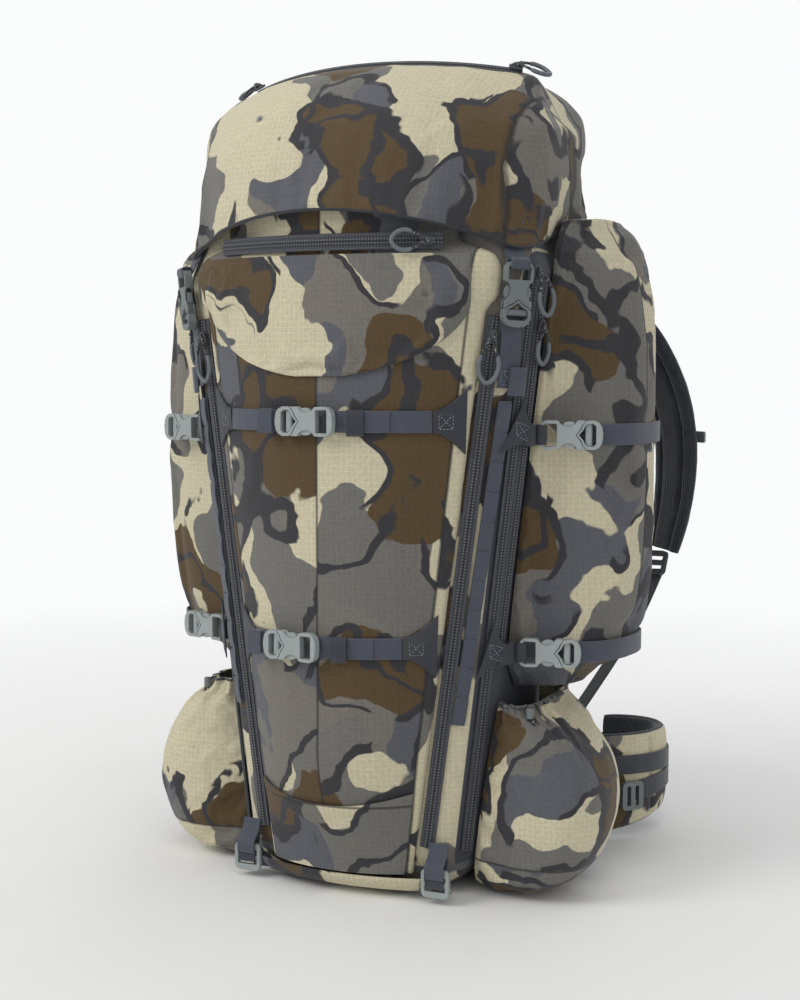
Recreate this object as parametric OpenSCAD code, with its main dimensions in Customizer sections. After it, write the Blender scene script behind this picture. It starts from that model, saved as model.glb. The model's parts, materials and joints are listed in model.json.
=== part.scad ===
// Expedition hunting backpack: framed main bag, floating lid, two long side pouches, two open lower
// pockets, zips with cord pulls, compression straps with side-release buckles, shoulder harness and hip belt.
// +X is to the right seen from the front, -Y is the front, +Z is up. Units are millimetres.

/* [Main bag] */
// Half width of the bag at its base
bag_half_base = 115; // [110:1:120]
// Growth of the half width for each millimetre of height
bag_taper = 0.1185; // [0.115:0.0005:0.12]
// Depth of the bag from the frame to its flat front
bag_depth = 200; // [196:1:206]
// Radius of the bag's front corners
corner_r = 45; // [44:0.5:48]
// Thickness of the bag's wall
bag_wall = 3; // [2:0.5:4]
// Height of the bag's rim above the ground
rim_z = 640; // [638:1:642]
// Height of the spindrift collar above the rim
collar_h = 42; // [30:1:46]
// How far the stuffed front panel stands out at its middle
front_bulge = 52; // [44:1:54]

/* [Lid] */
// Half width of the lid
lid_half = 178; // [177:1:180]
// Height of the lid's crown above the ground
lid_top = 790; // [780:1:800]

/* [Side storage] */
// Half of the width over both side pouches
pouch_half = 256; // [250:1:258]
// Height of a side pouch's lowest point
pouch_low = 192; // [190:1:196]
// Height of a side pouch's highest point
pouch_high = 636; // [630:1:638]
// Half of the width over both lower pockets
pocket_half = 240; // [234:1:244]
// Height of a lower pocket's gathered rim
pocket_rim = 184; // [180:1:186]

/* [Webbing and buckles] */
// Width of the webbing
web_w = 20; // [19:0.5:20]
// Thickness of the webbing
web_t = 1.6; // [1.4:0.1:1.8]
// Height of the upper compression straps
strap_high = 450; // [446:1:454]
// Height of the lower compression straps
strap_low = 243; // [240:1:246]
// Width of a side-release buckle
buckle_w = 27; // [26:0.5:28]
// Thickness of a side-release buckle
buckle_t = 8; // [7.5:0.5:8.5]

/* [Harness] */
// Width of a shoulder pad
pad_w = 66; // [60:1:70]
// Thickness of a shoulder pad
pad_t = 15; // [12:1:16]
// Height of the hip belt at its root
belt_h = 108; // [100:1:112]

/* [Hidden] */
y_shift = 28.7;
gap = 0.5;
frame_y = 0;
front_y = -bag_depth;
ring_steps = 6;
zip_top = 545;
zip_bottom = 50;
zip_tape_w = 14;
fabric = [0.45, 0.44, 0.40];
slate = [0.23, 0.24, 0.28];
buckle_grey = [0.56, 0.60, 0.60];
mesh_navy = [0.08, 0.10, 0.13];
carbon = [0.10, 0.10, 0.11];

// ---- numbers and vectors ----
function mix(a, b, t) = a + (b - a) * t;
function clamp01(t) = max(0, min(1, t));
function smooth(t) = t * t * (3 - 2 * t);
function unit(v) = v / norm(v);
function ease(t) = smooth(clamp01(t));

// Half width of the bag's body at a height: a straight taper, drawn in under the lid.
function half_width(z) = bag_half_base + bag_taper * min(z, 590) - 14 * ease((z - 582) / 36);

// A point on the rounded front corner, at an angle from straight sideways towards the front.
function out_at(a) = [cos(a), -sin(a), 0];
function corner_point(z, a, out = 0) =
    [half_width(z) - corner_r + (corner_r + out) * cos(a), front_y + corner_r - (corner_r
        + out) * sin(a), z];

// The bag's front wall, and the stuffed panel in front of it, which dies away at the zips.
function bag_front(x, z) =
    let (e = max(0, abs(x) - half_width(z) + corner_r)) front_y + corner_r - sqrt(max(0, pow(corner_r,
        2) - e * e));
function panel_half(z) =
    half_width(z) - 45 + 8 * clamp01(z / 545) + 10 * ease((z - 548) / 16) - 26 * ease((z - 600) / 14);
function bulge_at(z) = front_bulge * mix(0.42, 1, ease((z - 22) / 120)) * mix(1, 0.86,
    ease((z - 470) / 150));
function panel_y(x, z) =
    bag_front(x, z) - 2 - bulge_at(z) * max(0, 1 - pow(abs(x) / (panel_half(z) + 4), 2.2));

// ---- solids from rings ----
// Rings run anticlockwise seen from the end that the loft grows towards.
module loft(rings, strip_caps = false) {
    n = len(rings[0]);
    m = len(rings);
    points = [for (r = rings) for (p = r) p];
    walls = [for (k = [0 : m - 2]) for (i = [0 : n - 1])
        let (j = (i + 1) % n, a = k * n + i, b = k * n + j, c = (k + 1) * n + j, d = (k + 1) * n + i)
        for (f = [[a, d, c], [a, c, b]]) f];
    low = strip_caps
        ? [for (k = [0 : n / 2 - 2]) for (f = [[k, k + 1, n - 2 - k], [k, n - 2 - k, n - 1 - k]]) f]
        : [for (k = [1 : n - 2]) [0, k, k + 1]];
    high = [for (f = low) [f[2] + (m - 1) * n, f[1] + (m - 1) * n, f[0] + (m - 1) * n]];
    polyhedron(points = points, faces = concat(walls, low, high), convexity = 6);
}

// A rounded rectangle in plan, with its own front and back corner radii.
function plan_ring(hw, y0, y1, rf, rb, z, n = ring_steps) = [
    for (k = [0 : n]) let (a = -90 + 90 * k / n) [hw - rf + rf * cos(a), y0 + rf + rf * sin(a), z],
    for (k = [0 : n]) let (a = 90 * k / n) [hw - rb + rb * cos(a), y1 - rb + rb * sin(a), z],
    for (k = [0 : n]) let (a = 90 + 90 * k / n) [-hw + rb + rb * cos(a), y1 - rb + rb * sin(a), z],
    for (k = [0 : n]) let (a = 180 + 90 * k / n) [-hw + rf + rf * cos(a), y0 + rf + rf * sin(a), z]
];

// A layer between the surfaces y = outer(x, z) and y = inner(x, z), for |x| up to half(z).
// lean raises the middle of the top ring above its ends.
module layer(heights, half, inner, outer, n = 12, lean = 0) {
    low = heights[0];
    high = heights[len(heights) - 1];
    function raised(x, z) = z + lean * (z - low) / (high - low) * (1 - pow(x / half(z), 2));
    loft([for (z = heights) let (h = half(z)) [
        for (k = [0 : n]) let (x = mix(-h, h, k / n)) [x, outer(x, raised(x, z)), raised(x, z)],
        for (k = [0 : n]) let (x = mix(h, -h, k / n)) [x, inner(x, raised(x, z)), raised(x, z)]
    ]], strip_caps = true);
}

// A flattened round section swept along points; way is the direction of its width.
function tangent(p, i) = unit(p[min(i + 1, len(p) - 1)] - p[max(i - 1, 0)]);
function across(t, w) = unit(w - t * (w * t));
function at(v, i) = is_list(v) ? v[i] : v;
module sweep(path, ways, widths, thicks, n = 12, power = 0.6) {
    loft([for (i = [0 : len(path) - 1])
        let (t = tangent(path, i), u = across(t, is_list(ways[0]) ? ways[i] : ways), v = cross(t, u))
        [for (k = [0 : n - 1])
            let (a = 360 * k / n, c = cos(a), s = sin(a))
            path[i] + u * (at(widths, i) / 2 * sign(c) * pow(abs(c), power))
                + v * (at(thicks, i) / 2 * sign(s) * pow(abs(s), power))]]);
}

// A flat ribbon of webbing along points; its width may be a list.
module ribbon(path, way, width = web_w, thick = web_t) {
    loft([for (i = [0 : len(path) - 1])
        let (t = tangent(path, i), u = across(t, way), v = cross(t, u))
        [for (c = [[1, 1], [-1, 1], [-1, -1], [1, -1]])
            path[i] + u * (c[0] * at(width, i) / 2) + v * (c[1] * thick / 2)]]);
}

// A smooth curve through points, with a number of steps between each two.
function knot(p, i) = p[max(0, min(len(p) - 1, i))];
function spline(p, u) =
    let (i = min(floor(u), len(p) - 2), t = u - i, a = knot(p, i - 1), b = knot(p, i), c = knot(p,
        i + 1), d = knot(p, i + 2))
    0.5 * (2 * b + (c - a) * t + (2 * a - 5 * b + 4 * c - d) * t * t + (3 * b - a - 3 * c + d) * t * t * t);
function curve(p, steps) = [for (k = [0 : (len(p) - 1) * steps]) spline(p, k / steps)];

// Carries children from a local frame (x along, z outwards) to a place on the object; x is kept exactly.
module placed(o, x, z) {
    xx = unit(x);
    zz = across(xx, z);
    yy = cross(zz, xx);
    multmatrix([[xx[0], yy[0], zz[0], o[0]], [xx[1], yy[1], zz[1], o[1]], [xx[2], yy[2], zz[2], o[2]],
        [0, 0, 0, 1]])
        children();
}

// Moves the object so that its box is centred over its origin.
module shifted() {
    translate([0, y_shift, 0]) children();
}

// Draws the right-hand child, mirrored when the side is -1.
module sided(side) {
    if (side > 0) children();
    else mirror([1, 0, 0]) children();
}

function corners(w, h, r, n = 4) = [
    for (c = [[1, -1, -90], [1, 1, 0], [-1, 1, 90], [-1, -1, 180]])
        for (k = [0 : n])
            [c[0] * (w / 2 - r) + r * cos(c[2] + 90 * k / n), c[1] * (h / 2 - r) + r * sin(c[2]
                + 90 * k / n)]
];
module slab(w, h, r, t) {
    linear_extrude(t) polygon(corners(w, h, r));
}
function mirrored(half) = concat(half, [for (k = [len(half) - 1 : -1 : 0]) [half[k][0], -half[k][1]]]);

// ---- side-release buckle ----
// x runs along the strap, z outwards. The housing lies towards +x and the plug towards -x.
plate_t = 1.7;
arm_gap = 0.3;
buckle_half = buckle_w / 2;
window_half = web_w / 2 + 0.4;
waist = [for (k = [0 : 6]) let (a = 205 + k * 130 / 6) [9.6 * cos(a), 17.2 + 9.6 * sin(a)]];
module housing_outline() {
    upper = concat([[-7.2, 0], [-11.6, 5.6], [-13.2, 9.4], [-16.2, buckle_half - 0.4], [-12, buckle_half]],
        waist, [[13, buckle_half], [20.5, buckle_half], [24.6, 11], [26.6, 7], [27, 2]]);
    polygon(mirrored(upper));
}
module housing_window() {
    polygon(corners(11.4, 2 * window_half, 0.8));
}
module buckle_housing() {
    difference() {
        linear_extrude(plate_t) housing_outline();
        translate([15.8, 0, -1]) linear_extrude(buckle_t) housing_window();
    }
    translate([0, 0, buckle_t - plate_t]) difference() {
        linear_extrude(plate_t) housing_outline();
        translate([15.8, 0, -1]) linear_extrude(buckle_t) housing_window();
    }
    // The core and the frame that join the two plates
    translate([-4, -3.2, plate_t]) cube([12, 6.4, buckle_t - 2 * plate_t]);
    translate([0, 0, plate_t]) linear_extrude(buckle_t - 2 * plate_t) difference() {
        intersection() {
            housing_outline();
            translate([8, -20]) square([30, 40]);
        }
        translate([15.8, 0]) housing_window();
    }
}
module plug_outline(inset) {
    rim = [[-7.8 - inset, 0], [-12.2 - inset, 5.2], [-13.8 - inset, 9], [-16.8 - inset,
        buckle_half - 0.4 - inset]];
    polygon(mirrored(concat(rim, [[-24, buckle_half - inset], [-28.4 + inset / 2, 11.4 - inset],
        [-31 + inset, 7.5 - inset], [-32 + inset, 2]])));
}
module buckle_plug() {
    difference() {
        linear_extrude(buckle_t) plug_outline(0);
        translate([0, 0, -1]) linear_extrude(buckle_t + 2) intersection() {
            plug_outline(2.2);
            polygon(mirrored([[-25.8, 0], [-25.8, 8], [-23.4, window_half], [-14, window_half], [-10,
                4], [-9.8, 0]]));
        }
    }
    // The bar that the webbing turns round, and the two sprung arms
    translate([-20.5, -buckle_half + 1.5, 1.6]) cube([3, buckle_w - 3, 2.6]);
    for (s = [-1, 1]) sided2(s)
        translate([0, 0, plate_t + arm_gap]) linear_extrude(buckle_t - 2 * plate_t - 2 * arm_gap)
            polygon([[-14.4, 7.8], [-4.6, 7.2], [1, 5.4], [2, 6], [4.6, 8.6], [4.6, 10], [2.4, 11.8],
                [-1.5, 12.6],
                [-5.4, 12], [-7, 9.8], [-15.4, 10.6]]);
}
module sided2(s) {
    if (s > 0) children();
    else mirror([0, 1, 0]) children();
}
module webbing_turn() {
    translate([-19, web_w / 2, 2.9]) rotate([90, 0, 0]) linear_extrude(web_w) difference() {
        polygon(corners(6.6, 5.4, 2.2));
        polygon(corners(3.8, 2.8, 0.8));
    }
}
module fork_turn() {
    translate([24.2, web_w / 2 - 0.6, buckle_t / 2]) rotate([90, 0,
        0]) linear_extrude(web_w - 1.2) difference() {
        polygon(corners(9.2, buckle_t + 2.6, 2));
        polygon(corners(6.8, buckle_t + 0.4, 0.4));
    }
}
module tail_roll() {
    slab(18, web_w + 3, 2.5, 7);
}

// ---- zip slider with its cord pull, hanging along -x; z = 0 is the top of the tape ----
cord_d = 2.6;
grip_d = 3.6;
function pull_line(w, l, rise) = curve([[-3, 2, 6.6], [-0.34 * l, 0.38 * w, rise], [-0.62 * l, 0.5 * w,
    rise],
    [-0.88 * l, 0.36 * w, rise], [-l, 0, rise], [-0.88 * l, -0.36 * w, rise], [-0.62 * l, -0.5 * w, rise],
    [-0.34 * l, -0.38 * w, rise], [-3, -2, 6.6]], 2);
module slider_with_pull(w = 24, l = 42, lean = 0, rise = 7) {
    difference() {
        translate([-6, -4.4, 0.3]) cube([12, 8.8, 4.2]);
        translate([-7, -3.4, -1]) cube([14, 6.8, 3.8]);
    }
    translate([-6, -1.2, 4.3]) cube([9, 2.4, 2.8]);
    thick = [for (k = [0 : 16]) k > 3 && k < 13 ? grip_d : cord_d];
    rotate([0, 0, lean]) sweep(pull_line(w, l, rise), [0, 0, 1], thick, thick, n = 8, power = 1);
}

// ---- main body ----
module main_bag() {
    // [height, inset of the rounded base]
    outer = [[0, 30], [6.6, 15], [17.6, 6], [40, 0], [150, 0], [300, 0], [450, 0], [560, 0], [590, 0],
        [602, 0], [608, 0], [615, 0],
        [rim_z, 0]];
    inner = [[rim_z, 0], [615, 0], [608, 0], [602, 0], [590, 0], [450, 0], [300, 0], [150, 0], [44, 2],
        [24, 8], [14, 18]];
    color(fabric) shifted() loft(concat(
        [for (s = outer) plan_ring(half_width(s[0]) - s[1], front_y + s[1], frame_y,
            corner_r - s[1] / 2, 25, s[0])],
        [for (s = inner) plan_ring(half_width(s[0]) - s[1] - bag_wall, front_y + s[1] + bag_wall,
            frame_y - bag_wall - s[1] / 3, corner_r - bag_wall - s[1] / 2, 22, s[0])]));
}

// The rounded base's front, at a height: where the panels over it begin.
function base_front(z) = front_y + lookup(z, [[0, 30], [6.6, 15], [17.6, 6], [40, 0]]);
module bottom_panel() {
    color(fabric) shifted() layer([3, 7, 12, 18, 22.5], function (z) 76 + 0.4 * z,
        function (x, z) base_front(z) - 1,
        function (x, z) base_front(z) - 3 - 28 * (1 - pow(x / 112, 2)) * ease((z + 12) / 24), n = 10);
}

module front_panel() {
    heights = [24, 40, 70, 110, 160, 220, 290, 360, 430, 500, 546, 565, 590, 602, 608, 615, 640, 656];
    color(fabric) shifted() layer(heights, function (z) panel_half(z),
        function (x, z) bag_front(x, z) - 3 * gap, function (x, z) panel_y(x, z) - 1, n = 16);
}

module front_cuff() {
    color(fabric) shifted() layer([25, 40, 60, 80, 104], function (z) panel_half(z) - 5,
        function (x, z) panel_y(x, z) - 2.2, function (x, z) panel_y(x, z) - 4.4, n = 16, lean = -12);
}

// Half width of the front pocket: straight sides, and a bowl-shaped lower edge.
function pocket_half_width(z) = min(136 * sqrt(max(0.02, 1 - pow(clamp01((566 - z) / 76), 2))),
    panel_half(z) - 1);
module front_pocket() {
    color(fabric) shifted() layer([491, 495, 503, 516, 536, 566, 586, 600],
        function (z) pocket_half_width(z),
        function (x, z) panel_y(x, z) - 2.4,
        function (x, z) panel_y(x, z) - 4 - 8 * sqrt(max(0, 1 - pow(x / (pocket_half_width(z) + 4), 2)))
            * ease((z - 485) / 50) * (1 - 0.8 * ease((z - 578) / 22)), n = 16);
}

// Side pouch: its outline in plan runs round from its front root; it is fullest at mid height.
function root_x(z) = bag_half_base + bag_taper * min(z, 590) + 2.2;
function pouch_fill(z) = pow(max(0, 1 - pow(abs((z - 414) / 226), 3.4)), 0.5);
pouch_plan = [[0, -147], [0.16, -146], [0.45, -138], [0.76, -123], [0.93, -100], [1, -70], [1, -38],
    [0.88, -12], [0.5, -3], [0, -2]];
function pouch_point(k, z) = let (f = pouch_fill(z), p = spline(pouch_plan, max(0, min(9, k))))
    [root_x(z) + (pouch_half - root_x(z)) * p[0] * mix(0.34, 1, f), mix(-72, p[1], mix(0.72, 1, f)), z];
module side_pouch() {
    heights = [pouch_low, 195, 201, 210, 222, 240, 265, 300, 340, 380, 420, 460, 500, 540, 570, 592,
        608, 620, 629,
        634, pouch_high];
    loft([for (z = heights) [for (k = [0 : 0.5 : len(pouch_plan) - 1]) pouch_point(k, z)]]);
}

// Lower pocket: an open-topped bellows from the front corner round to the back.
// [height, reach from the bag, front, back]
pocket_rings = [[2, 40, -150, -34], [10, 66, -166, -26], [30, 94, -176, -20], [70, 106, -178, -17],
    [110, 98, -176, -17],
    [150, 70, -170, -20], [172, 46, -164, -26], [pocket_rim, 36, -160, -30]];
pocket_plan = [[0, 0.08], [0.35, 0], [0.74, 0.02], [0.97, 0.14], [1.02, 0.38], [0.96, 0.68], [0.8,
    0.9], [0.4, 1], [0, 0.95]];
function pocket_ring(r, t) = let (z = r[0], root = root_x(z) + t, w = min(r[1] - 2 * t,
    pocket_half - root - t))
    [for (p = curve(pocket_plan, 2)) [root + w * p[0], mix(r[2] + t, r[3] - t, p[1]), z]];
module lower_pocket() {
    wall = 2.4;
    rings = curve(pocket_rings, 2);
    n = len(rings);
    loft(concat([for (r = rings) pocket_ring(r, 0)],
        [for (k = [n - 1 : -1 : 3]) pocket_ring(rings[k], wall)],
        [pocket_ring([14, 64, -164, -28], wall)]));
}

module collar() {
    function ring(z, t) = let (g = 26 * ease((z - rim_z) / collar_h))
        plan_ring(half_width(rim_z) - 3.4 - g - t, front_y + g + 3.4 + t, frame_y - 6 - g / 2 - t,
            42 - t, 24 - t, z);
    z0 = rim_z + gap;
    z1 = rim_z + collar_h;
    color(slate) shifted() difference() {
        loft([ring(z0, 0), ring(z0 + 20, 0), ring(z1, 0)]);
        loft([ring(z0 - 1, 2.2), ring(z0 + 20, 2.2), ring(z1 + 1, 2.2)]);
    }
}

module hydration_sleeve() {
    color(slate) shifted() translate([0, frame_y - bag_wall - 5, 340]) rotate([90, 0, 0]) slab(200,
        300, 20, 4);
}

// ---- frame and pads ----
stay_x = 88;
module frame_stays() {
    color(carbon) shifted() for (s = [-1, 1]) translate([s * stay_x - 7, 1.5, 60]) cube([14, 7, 560]);
}
module frame_crossbars() {
    color(carbon) shifted() for (z = [96, 330, 590]) translate([-stay_x + 7.5, 1.5,
        z]) cube([2 * stay_x - 15, 6, 18]);
}
module back_pad() {
    color(mesh_navy) shifted() for (s = [-1, 1])
        sweep([for (k = [0 : 8]) [s * 46, 20 + 3 * sin(k * 22.5), 205 + k * 34]], [1, 0, 0],
            [for (k = [0 : 8]) 62 - 12 * pow((k - 4) / 4, 4)], 16, n = 16);
}
module lumbar_pad() {
    color(mesh_navy) shifted() sweep([for (k = [0 : 8]) [0, 22, 26 + k * 18]], [1, 0, 0],
        [for (k = [0 : 8]) 172 - 26 * pow((k - 4) / 4, 4)],
            [for (k = [0 : 8]) 24 - 6 * pow((k - 4) / 4, 2)], n = 20);
}
module yoke() {
    color(slate) shifted() difference() {
        translate([0, 12.6, 545]) rotate([90, 0, 0]) slab(200, 110, 26, 3);
        for (s = [-1, 1]) translate([s * 62, 20, 560]) rotate([90, 0, 0]) slab(58, 7, 3, 20);
    }
}

// ---- webbing that lies on the bag ----
front_buckle_x = [-4.5, -20.5];
strap_z = [strap_high, strap_low];
side_z = [strap_high - 13, strap_low - 10];
function on_panel(x, z, out) = [x, panel_y(x, z) - out, z];
module front_straps() {
    color(slate) shifted() for (i = [0, 1]) {
        z = strap_z[i];
        x = front_buckle_x[i];
        h = panel_half(z) - 27;
        ribbon([for (k = [0 : 12]) on_panel(mix(-h, x - 18, k / 12), z, 2.8)], [0, 0, 1]);
        ribbon([for (k = [0 : 12]) on_panel(mix(x + 18, h, k / 12), z, 2.8)], [0, 0, 1]);
    }
}
module on_front_buckle(i) {
    x = front_buckle_x[i];
    placed(on_panel(x, strap_z[i], 4.8), on_panel(x + 6, 0, 0) - on_panel(x - 6, 0, 0), [0.02, -1,
        0]) children();
}
module strap_keepers() {
    color(slate) shifted() for (i = [0, 1]) {
        x = front_buckle_x[i] + 44;
        placed(on_panel(x, strap_z[i] - 1, 5), on_panel(x + 8, 0, 0) - on_panel(x - 8, 0, 0), [0.1, -1,
            0]) tail_roll();
    }
}
module front_buckle_sockets() {
    color(buckle_grey) shifted() for (i = [0, 1]) on_front_buckle(i) buckle_housing();
}
module front_plug(i) {
    color(buckle_grey) shifted() on_front_buckle(i) {
        buckle_plug();
        webbing_turn();
        translate([-44, 0, 0.4]) slab(15, web_w + 2.4, 2, 6);
    }
}

// Side straps: the buckle's place on the pouch, the patch that holds it, and the webbing to the frame.
function buckle_way(z) = unit(pouch_point(1, z) - pouch_point(2, z));
function buckle_out(z) = let (w = buckle_way(z)) [-w[1], w[0], 0];
// The pouch's outline under a strap: where the pouch is widest over the strap's width
function widest(k, z) = pouch_point(k, z < 414 ? z + web_w / 2 + 2 : z);
function buckle_place(z) = let (p = mix(widest(1, z), widest(2, z), 0.74)) [p[0], p[1],
    z] + buckle_out(z) * 4;
module on_side_buckle(z) {
    placed(buckle_place(z), buckle_way(z), buckle_out(z)) children();
}
patch_angles = [36, 32, 28, 24, 20, 16];
patch_offsets = [6.2, 6.8, 7.4, 8.4, 10, 12];
patch_heights = [60, 46, 34, 26, 21, 20, web_w - 0.4];
module side_patch(i) {
    z = side_z[i];
    end = buckle_place(z) + buckle_way(z) * 28.6 + buckle_out(z) * buckle_t / 2;
    ribbon(concat([for (k = [0 : 5]) corner_point(mix(strap_z[i] - 4, z, k / 5), patch_angles[k],
        patch_offsets[k])], [end]),
        [0, 0, 1], patch_heights);
}
module front_patch(z) {
    h = panel_half(z);
    ribbon([for (k = [0 : 4]) on_panel(h - 26 + 25 * k / 4, z, 3.6)], [bag_taper, 0, 1], [20, 23, 32,
        45, 60]);
}
module anchor_patches() {
    color(slate) shifted() for (i = [0, 1], s = [-1, 1]) sided(s) {
        side_patch(i);
        front_patch(strap_z[i]);
        on_side_buckle(side_z[i]) fork_turn();
    }
}
module side_buckle_sockets() {
    color(buckle_grey) shifted() for (z = side_z, s = [-1, 1]) sided(s) on_side_buckle(z) buckle_housing();
}
function off_pouch(k, z, out) = let (t = unit(pouch_point(k + 1, z) - pouch_point(k - 1, z)),
    p = widest(k, z))
    [p[0] + t[1] * out, p[1] - t[0] * out, z];
module side_straps() {
    color(slate) shifted() for (z = side_z, s = [-1, 1]) sided(s)
        ribbon(concat([off_pouch(2, z, 2) + buckle_way(z) * 6],
            [for (k = [2.5 : 0.5 : 8.5]) off_pouch(k, z, 2.2)],
            [[stay_x + 26, 3, z], [stay_x + 9, 5, z]]), [0, 0, 1]);
}
module side_plug(z) {
    on_side_buckle(z) {
        buckle_plug();
        webbing_turn();
    }
}

// Daisy chain on each front corner
daisy_a = [57, 46];
daisy_out = out_at((daisy_a[0] + daisy_a[1]) / 2);
daisy_side = [-daisy_out[1], daisy_out[0], 0];
daisy_low = corner_point(168, daisy_a[0], 2.2);
daisy_high = corner_point(468, daisy_a[1], 2.2);
daisy_loops = 11;
module daisy_chain() {
    ribbon([daisy_low, daisy_high], daisy_side, 13, 1.2);
    step = (daisy_high - daisy_low) / daisy_loops;
    for (k = [0 : daisy_loops - 1])
        ribbon([for (t = [-2 : 2]) daisy_low + step * (k + 0.5 + t * 0.24) + daisy_out * (1.5
            + 0.5 * (4 - t * t) / 2)],
            daisy_side, 12.6, 1.2);
}
module daisy_chains() {
    color(slate) shifted() for (s = [-1, 1]) sided(s) daisy_chain();
}

// Lid straps: anchored above the daisy chain, with the buckle under the lid's corner.
lid_strap_a = 46.5;
lid_strap_out = out_at(lid_strap_a);
lid_strap_side = [-lid_strap_out[1], lid_strap_out[0], 0];
lid_strap_low = corner_point(480, lid_strap_a, 4.2);
lid_strap_high = corner_point(598, lid_strap_a, 8);
lid_way = unit(lid_strap_high - lid_strap_low);
lid_buckle_at = mix(lid_strap_low, lid_strap_high, 0.735) + lid_strap_out * 2;
module on_lid_buckle() {
    placed(lid_buckle_at, lid_way, lid_strap_out) children();
}
module lid_anchor_straps() {
    color(slate) shifted() for (s = [-1, 1]) sided(s) {
        ribbon([for (k = [0 : 4]) lid_strap_low + lid_way * k * 17], lid_strap_side);
        placed(corner_point(486, lid_strap_a - 9, 6), lid_way, out_at(lid_strap_a - 9)) slab(32, 16, 3, 7);
    }
}
module lid_buckle_sockets() {
    color(buckle_grey) shifted() for (s = [-1, 1]) sided(s) on_lid_buckle() buckle_housing();
}
module lid_plug() {
    on_lid_buckle() {
        buckle_plug();
        webbing_turn();
    }
}
module lid_straps() {
    color(slate) shifted() for (s = [-1, 1]) sided(s) {
        on_lid_buckle() fork_turn();
        top = lid_buckle_at + lid_way * 29.6 + lid_strap_out * buckle_t / 2;
        ribbon([top, lid_strap_high + lid_strap_out * 3 + lid_way * 3], lid_strap_side);
    }
}

// Short straps round the base, and the ladder locks that hang from them
lock_x = 100;
module bottom_straps() {
    color(slate) shifted() for (s = [-1, 1]) sided(s)
        ribbon([[96, base_front(6.6) - 2.5, 4.5], [97, base_front(12) - 4, 11], [98.5,
            base_front(22) - 5.4, 21],
            [lock_x, base_front(32) - 6.6, 29]], [1, 0, 0]);
}
lock_pivot = [lock_x, base_front(32) - 12.2, 30];
module bottom_lock() {
    difference() {
        translate(lock_pivot + [0, 2.5, -10]) rotate([90, 0, 0]) slab(28, 27, 5, 5);
        for (z = [-15, -6]) translate(lock_pivot + [0, 4, z]) rotate([90, 0, 0]) slab(web_w + 0.6, 5,
            1.2, 8);
    }
    translate(lock_pivot + [0, 0, -0.4]) rotate([0, 90, 0]) cylinder(r = 1.1, h = web_w, center = true,
        $fn = 24);
}

module haul_loop() {
    color(slate) shifted() sweep(
        curve([[-36, 19, 608], [-33, 19, 590], [-22, 19, 577], [0, 19, 572], [22, 19, 577], [33, 19,
            590], [36, 19, 608]], 3),
        [0, 1, 0], 9, 3.4, n = 8);
}

// ---- zips ----
// Angles of the front zip on the corner at its lower and upper ends, and of the bag's side zip
zip_front_a = [76, 68];
zip_bag_a = 26;
zip_bag_top = 588;
front_zip_out = out_at((zip_front_a[0] + zip_front_a[1]) / 2);
front_zip_low = corner_point(zip_bottom, zip_front_a[0], 1.4);
front_zip_high = corner_point(zip_top, zip_front_a[1], 1.4);
bag_zip_low = corner_point(44, zip_bag_a, 1.4);
bag_zip_high = corner_point(zip_bag_top, zip_bag_a, 1.4);
function zip_pouch(z) = [half_width(z) + 1.2, front_y + corner_r - 8, z];
pouch_zip_out = [0.95, -0.31, 0];
module zip_tape(a, b, out, w = zip_tape_w) {
    placed(a, b - a, out) {
        translate([0, -w / 2, -0.6]) cube([norm(b - a), w, 1.2]);
        translate([0, -2.5, 0.4]) cube([norm(b - a), 5, 2]);
    }
}
// A tape along an arc about c; tilt turns its face upwards, and lean turns the arc's plane about X.
module arc_tape(c, r, half_angle, w, tilt = 0, lean = 0) {
    translate(c) rotate([lean, 0, 0]) rotate([0, 0, -90 - half_angle])
        rotate_extrude(angle = 2 * half_angle, $fn = 96)
        translate([r, 0]) rotate(tilt) polygon([[-0.6, -w / 2], [0.6, -w / 2], [0.6, -2.5], [2.4,
            -2.5], [2.4, 2.5],
            [0.6, 2.5], [0.6, w / 2], [-0.6, w / 2]]);
}
pocket_arc = [0, 4, 611];
pocket_arc_r = 255.8;
module zip_tapes() {
    color(slate) shifted() {
        for (s = [-1, 1]) sided(s) {
            zip_tape(front_zip_low, front_zip_high, front_zip_out);
            zip_tape(bag_zip_low, bag_zip_high, out_at(zip_bag_a));
            zip_tape(zip_pouch(232), zip_pouch(570), pouch_zip_out, 12);
        }
        arc_tape(pocket_arc, pocket_arc_r, 26, 15);
    }
}
slider_lift = 1;
// A slider at a share of the way up a straight zip
module on_zip(low, high, share, out) {
    color(buckle_grey) shifted() placed(mix(low, high, share) + out * slider_lift, high - low,
        out) children();
}
module front_slider() {
    on_zip(front_zip_low, front_zip_high, 0.963, front_zip_out) slider_with_pull(18);
}
module bag_slider() {
    on_zip(bag_zip_low, bag_zip_high, 0.995, out_at(zip_bag_a)) slider_with_pull(18, 40, 16, 12);
}
module pouch_slider() {
    on_zip(zip_pouch(232), zip_pouch(570), 0.9, pouch_zip_out) slider_with_pull(16, 34, 4);
}
module arc_slider(c, r, a, way, tilt = 0, lean = 0) {
    color(buckle_grey) shifted() translate(c) rotate([lean, 0, 0]) rotate([0, 0, a])
        placed([0, -(r + slider_lift), 0], [way, 0, 0], [0, -cos(tilt),
            sin(tilt)]) slider_with_pull(18, 32);
}

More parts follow.
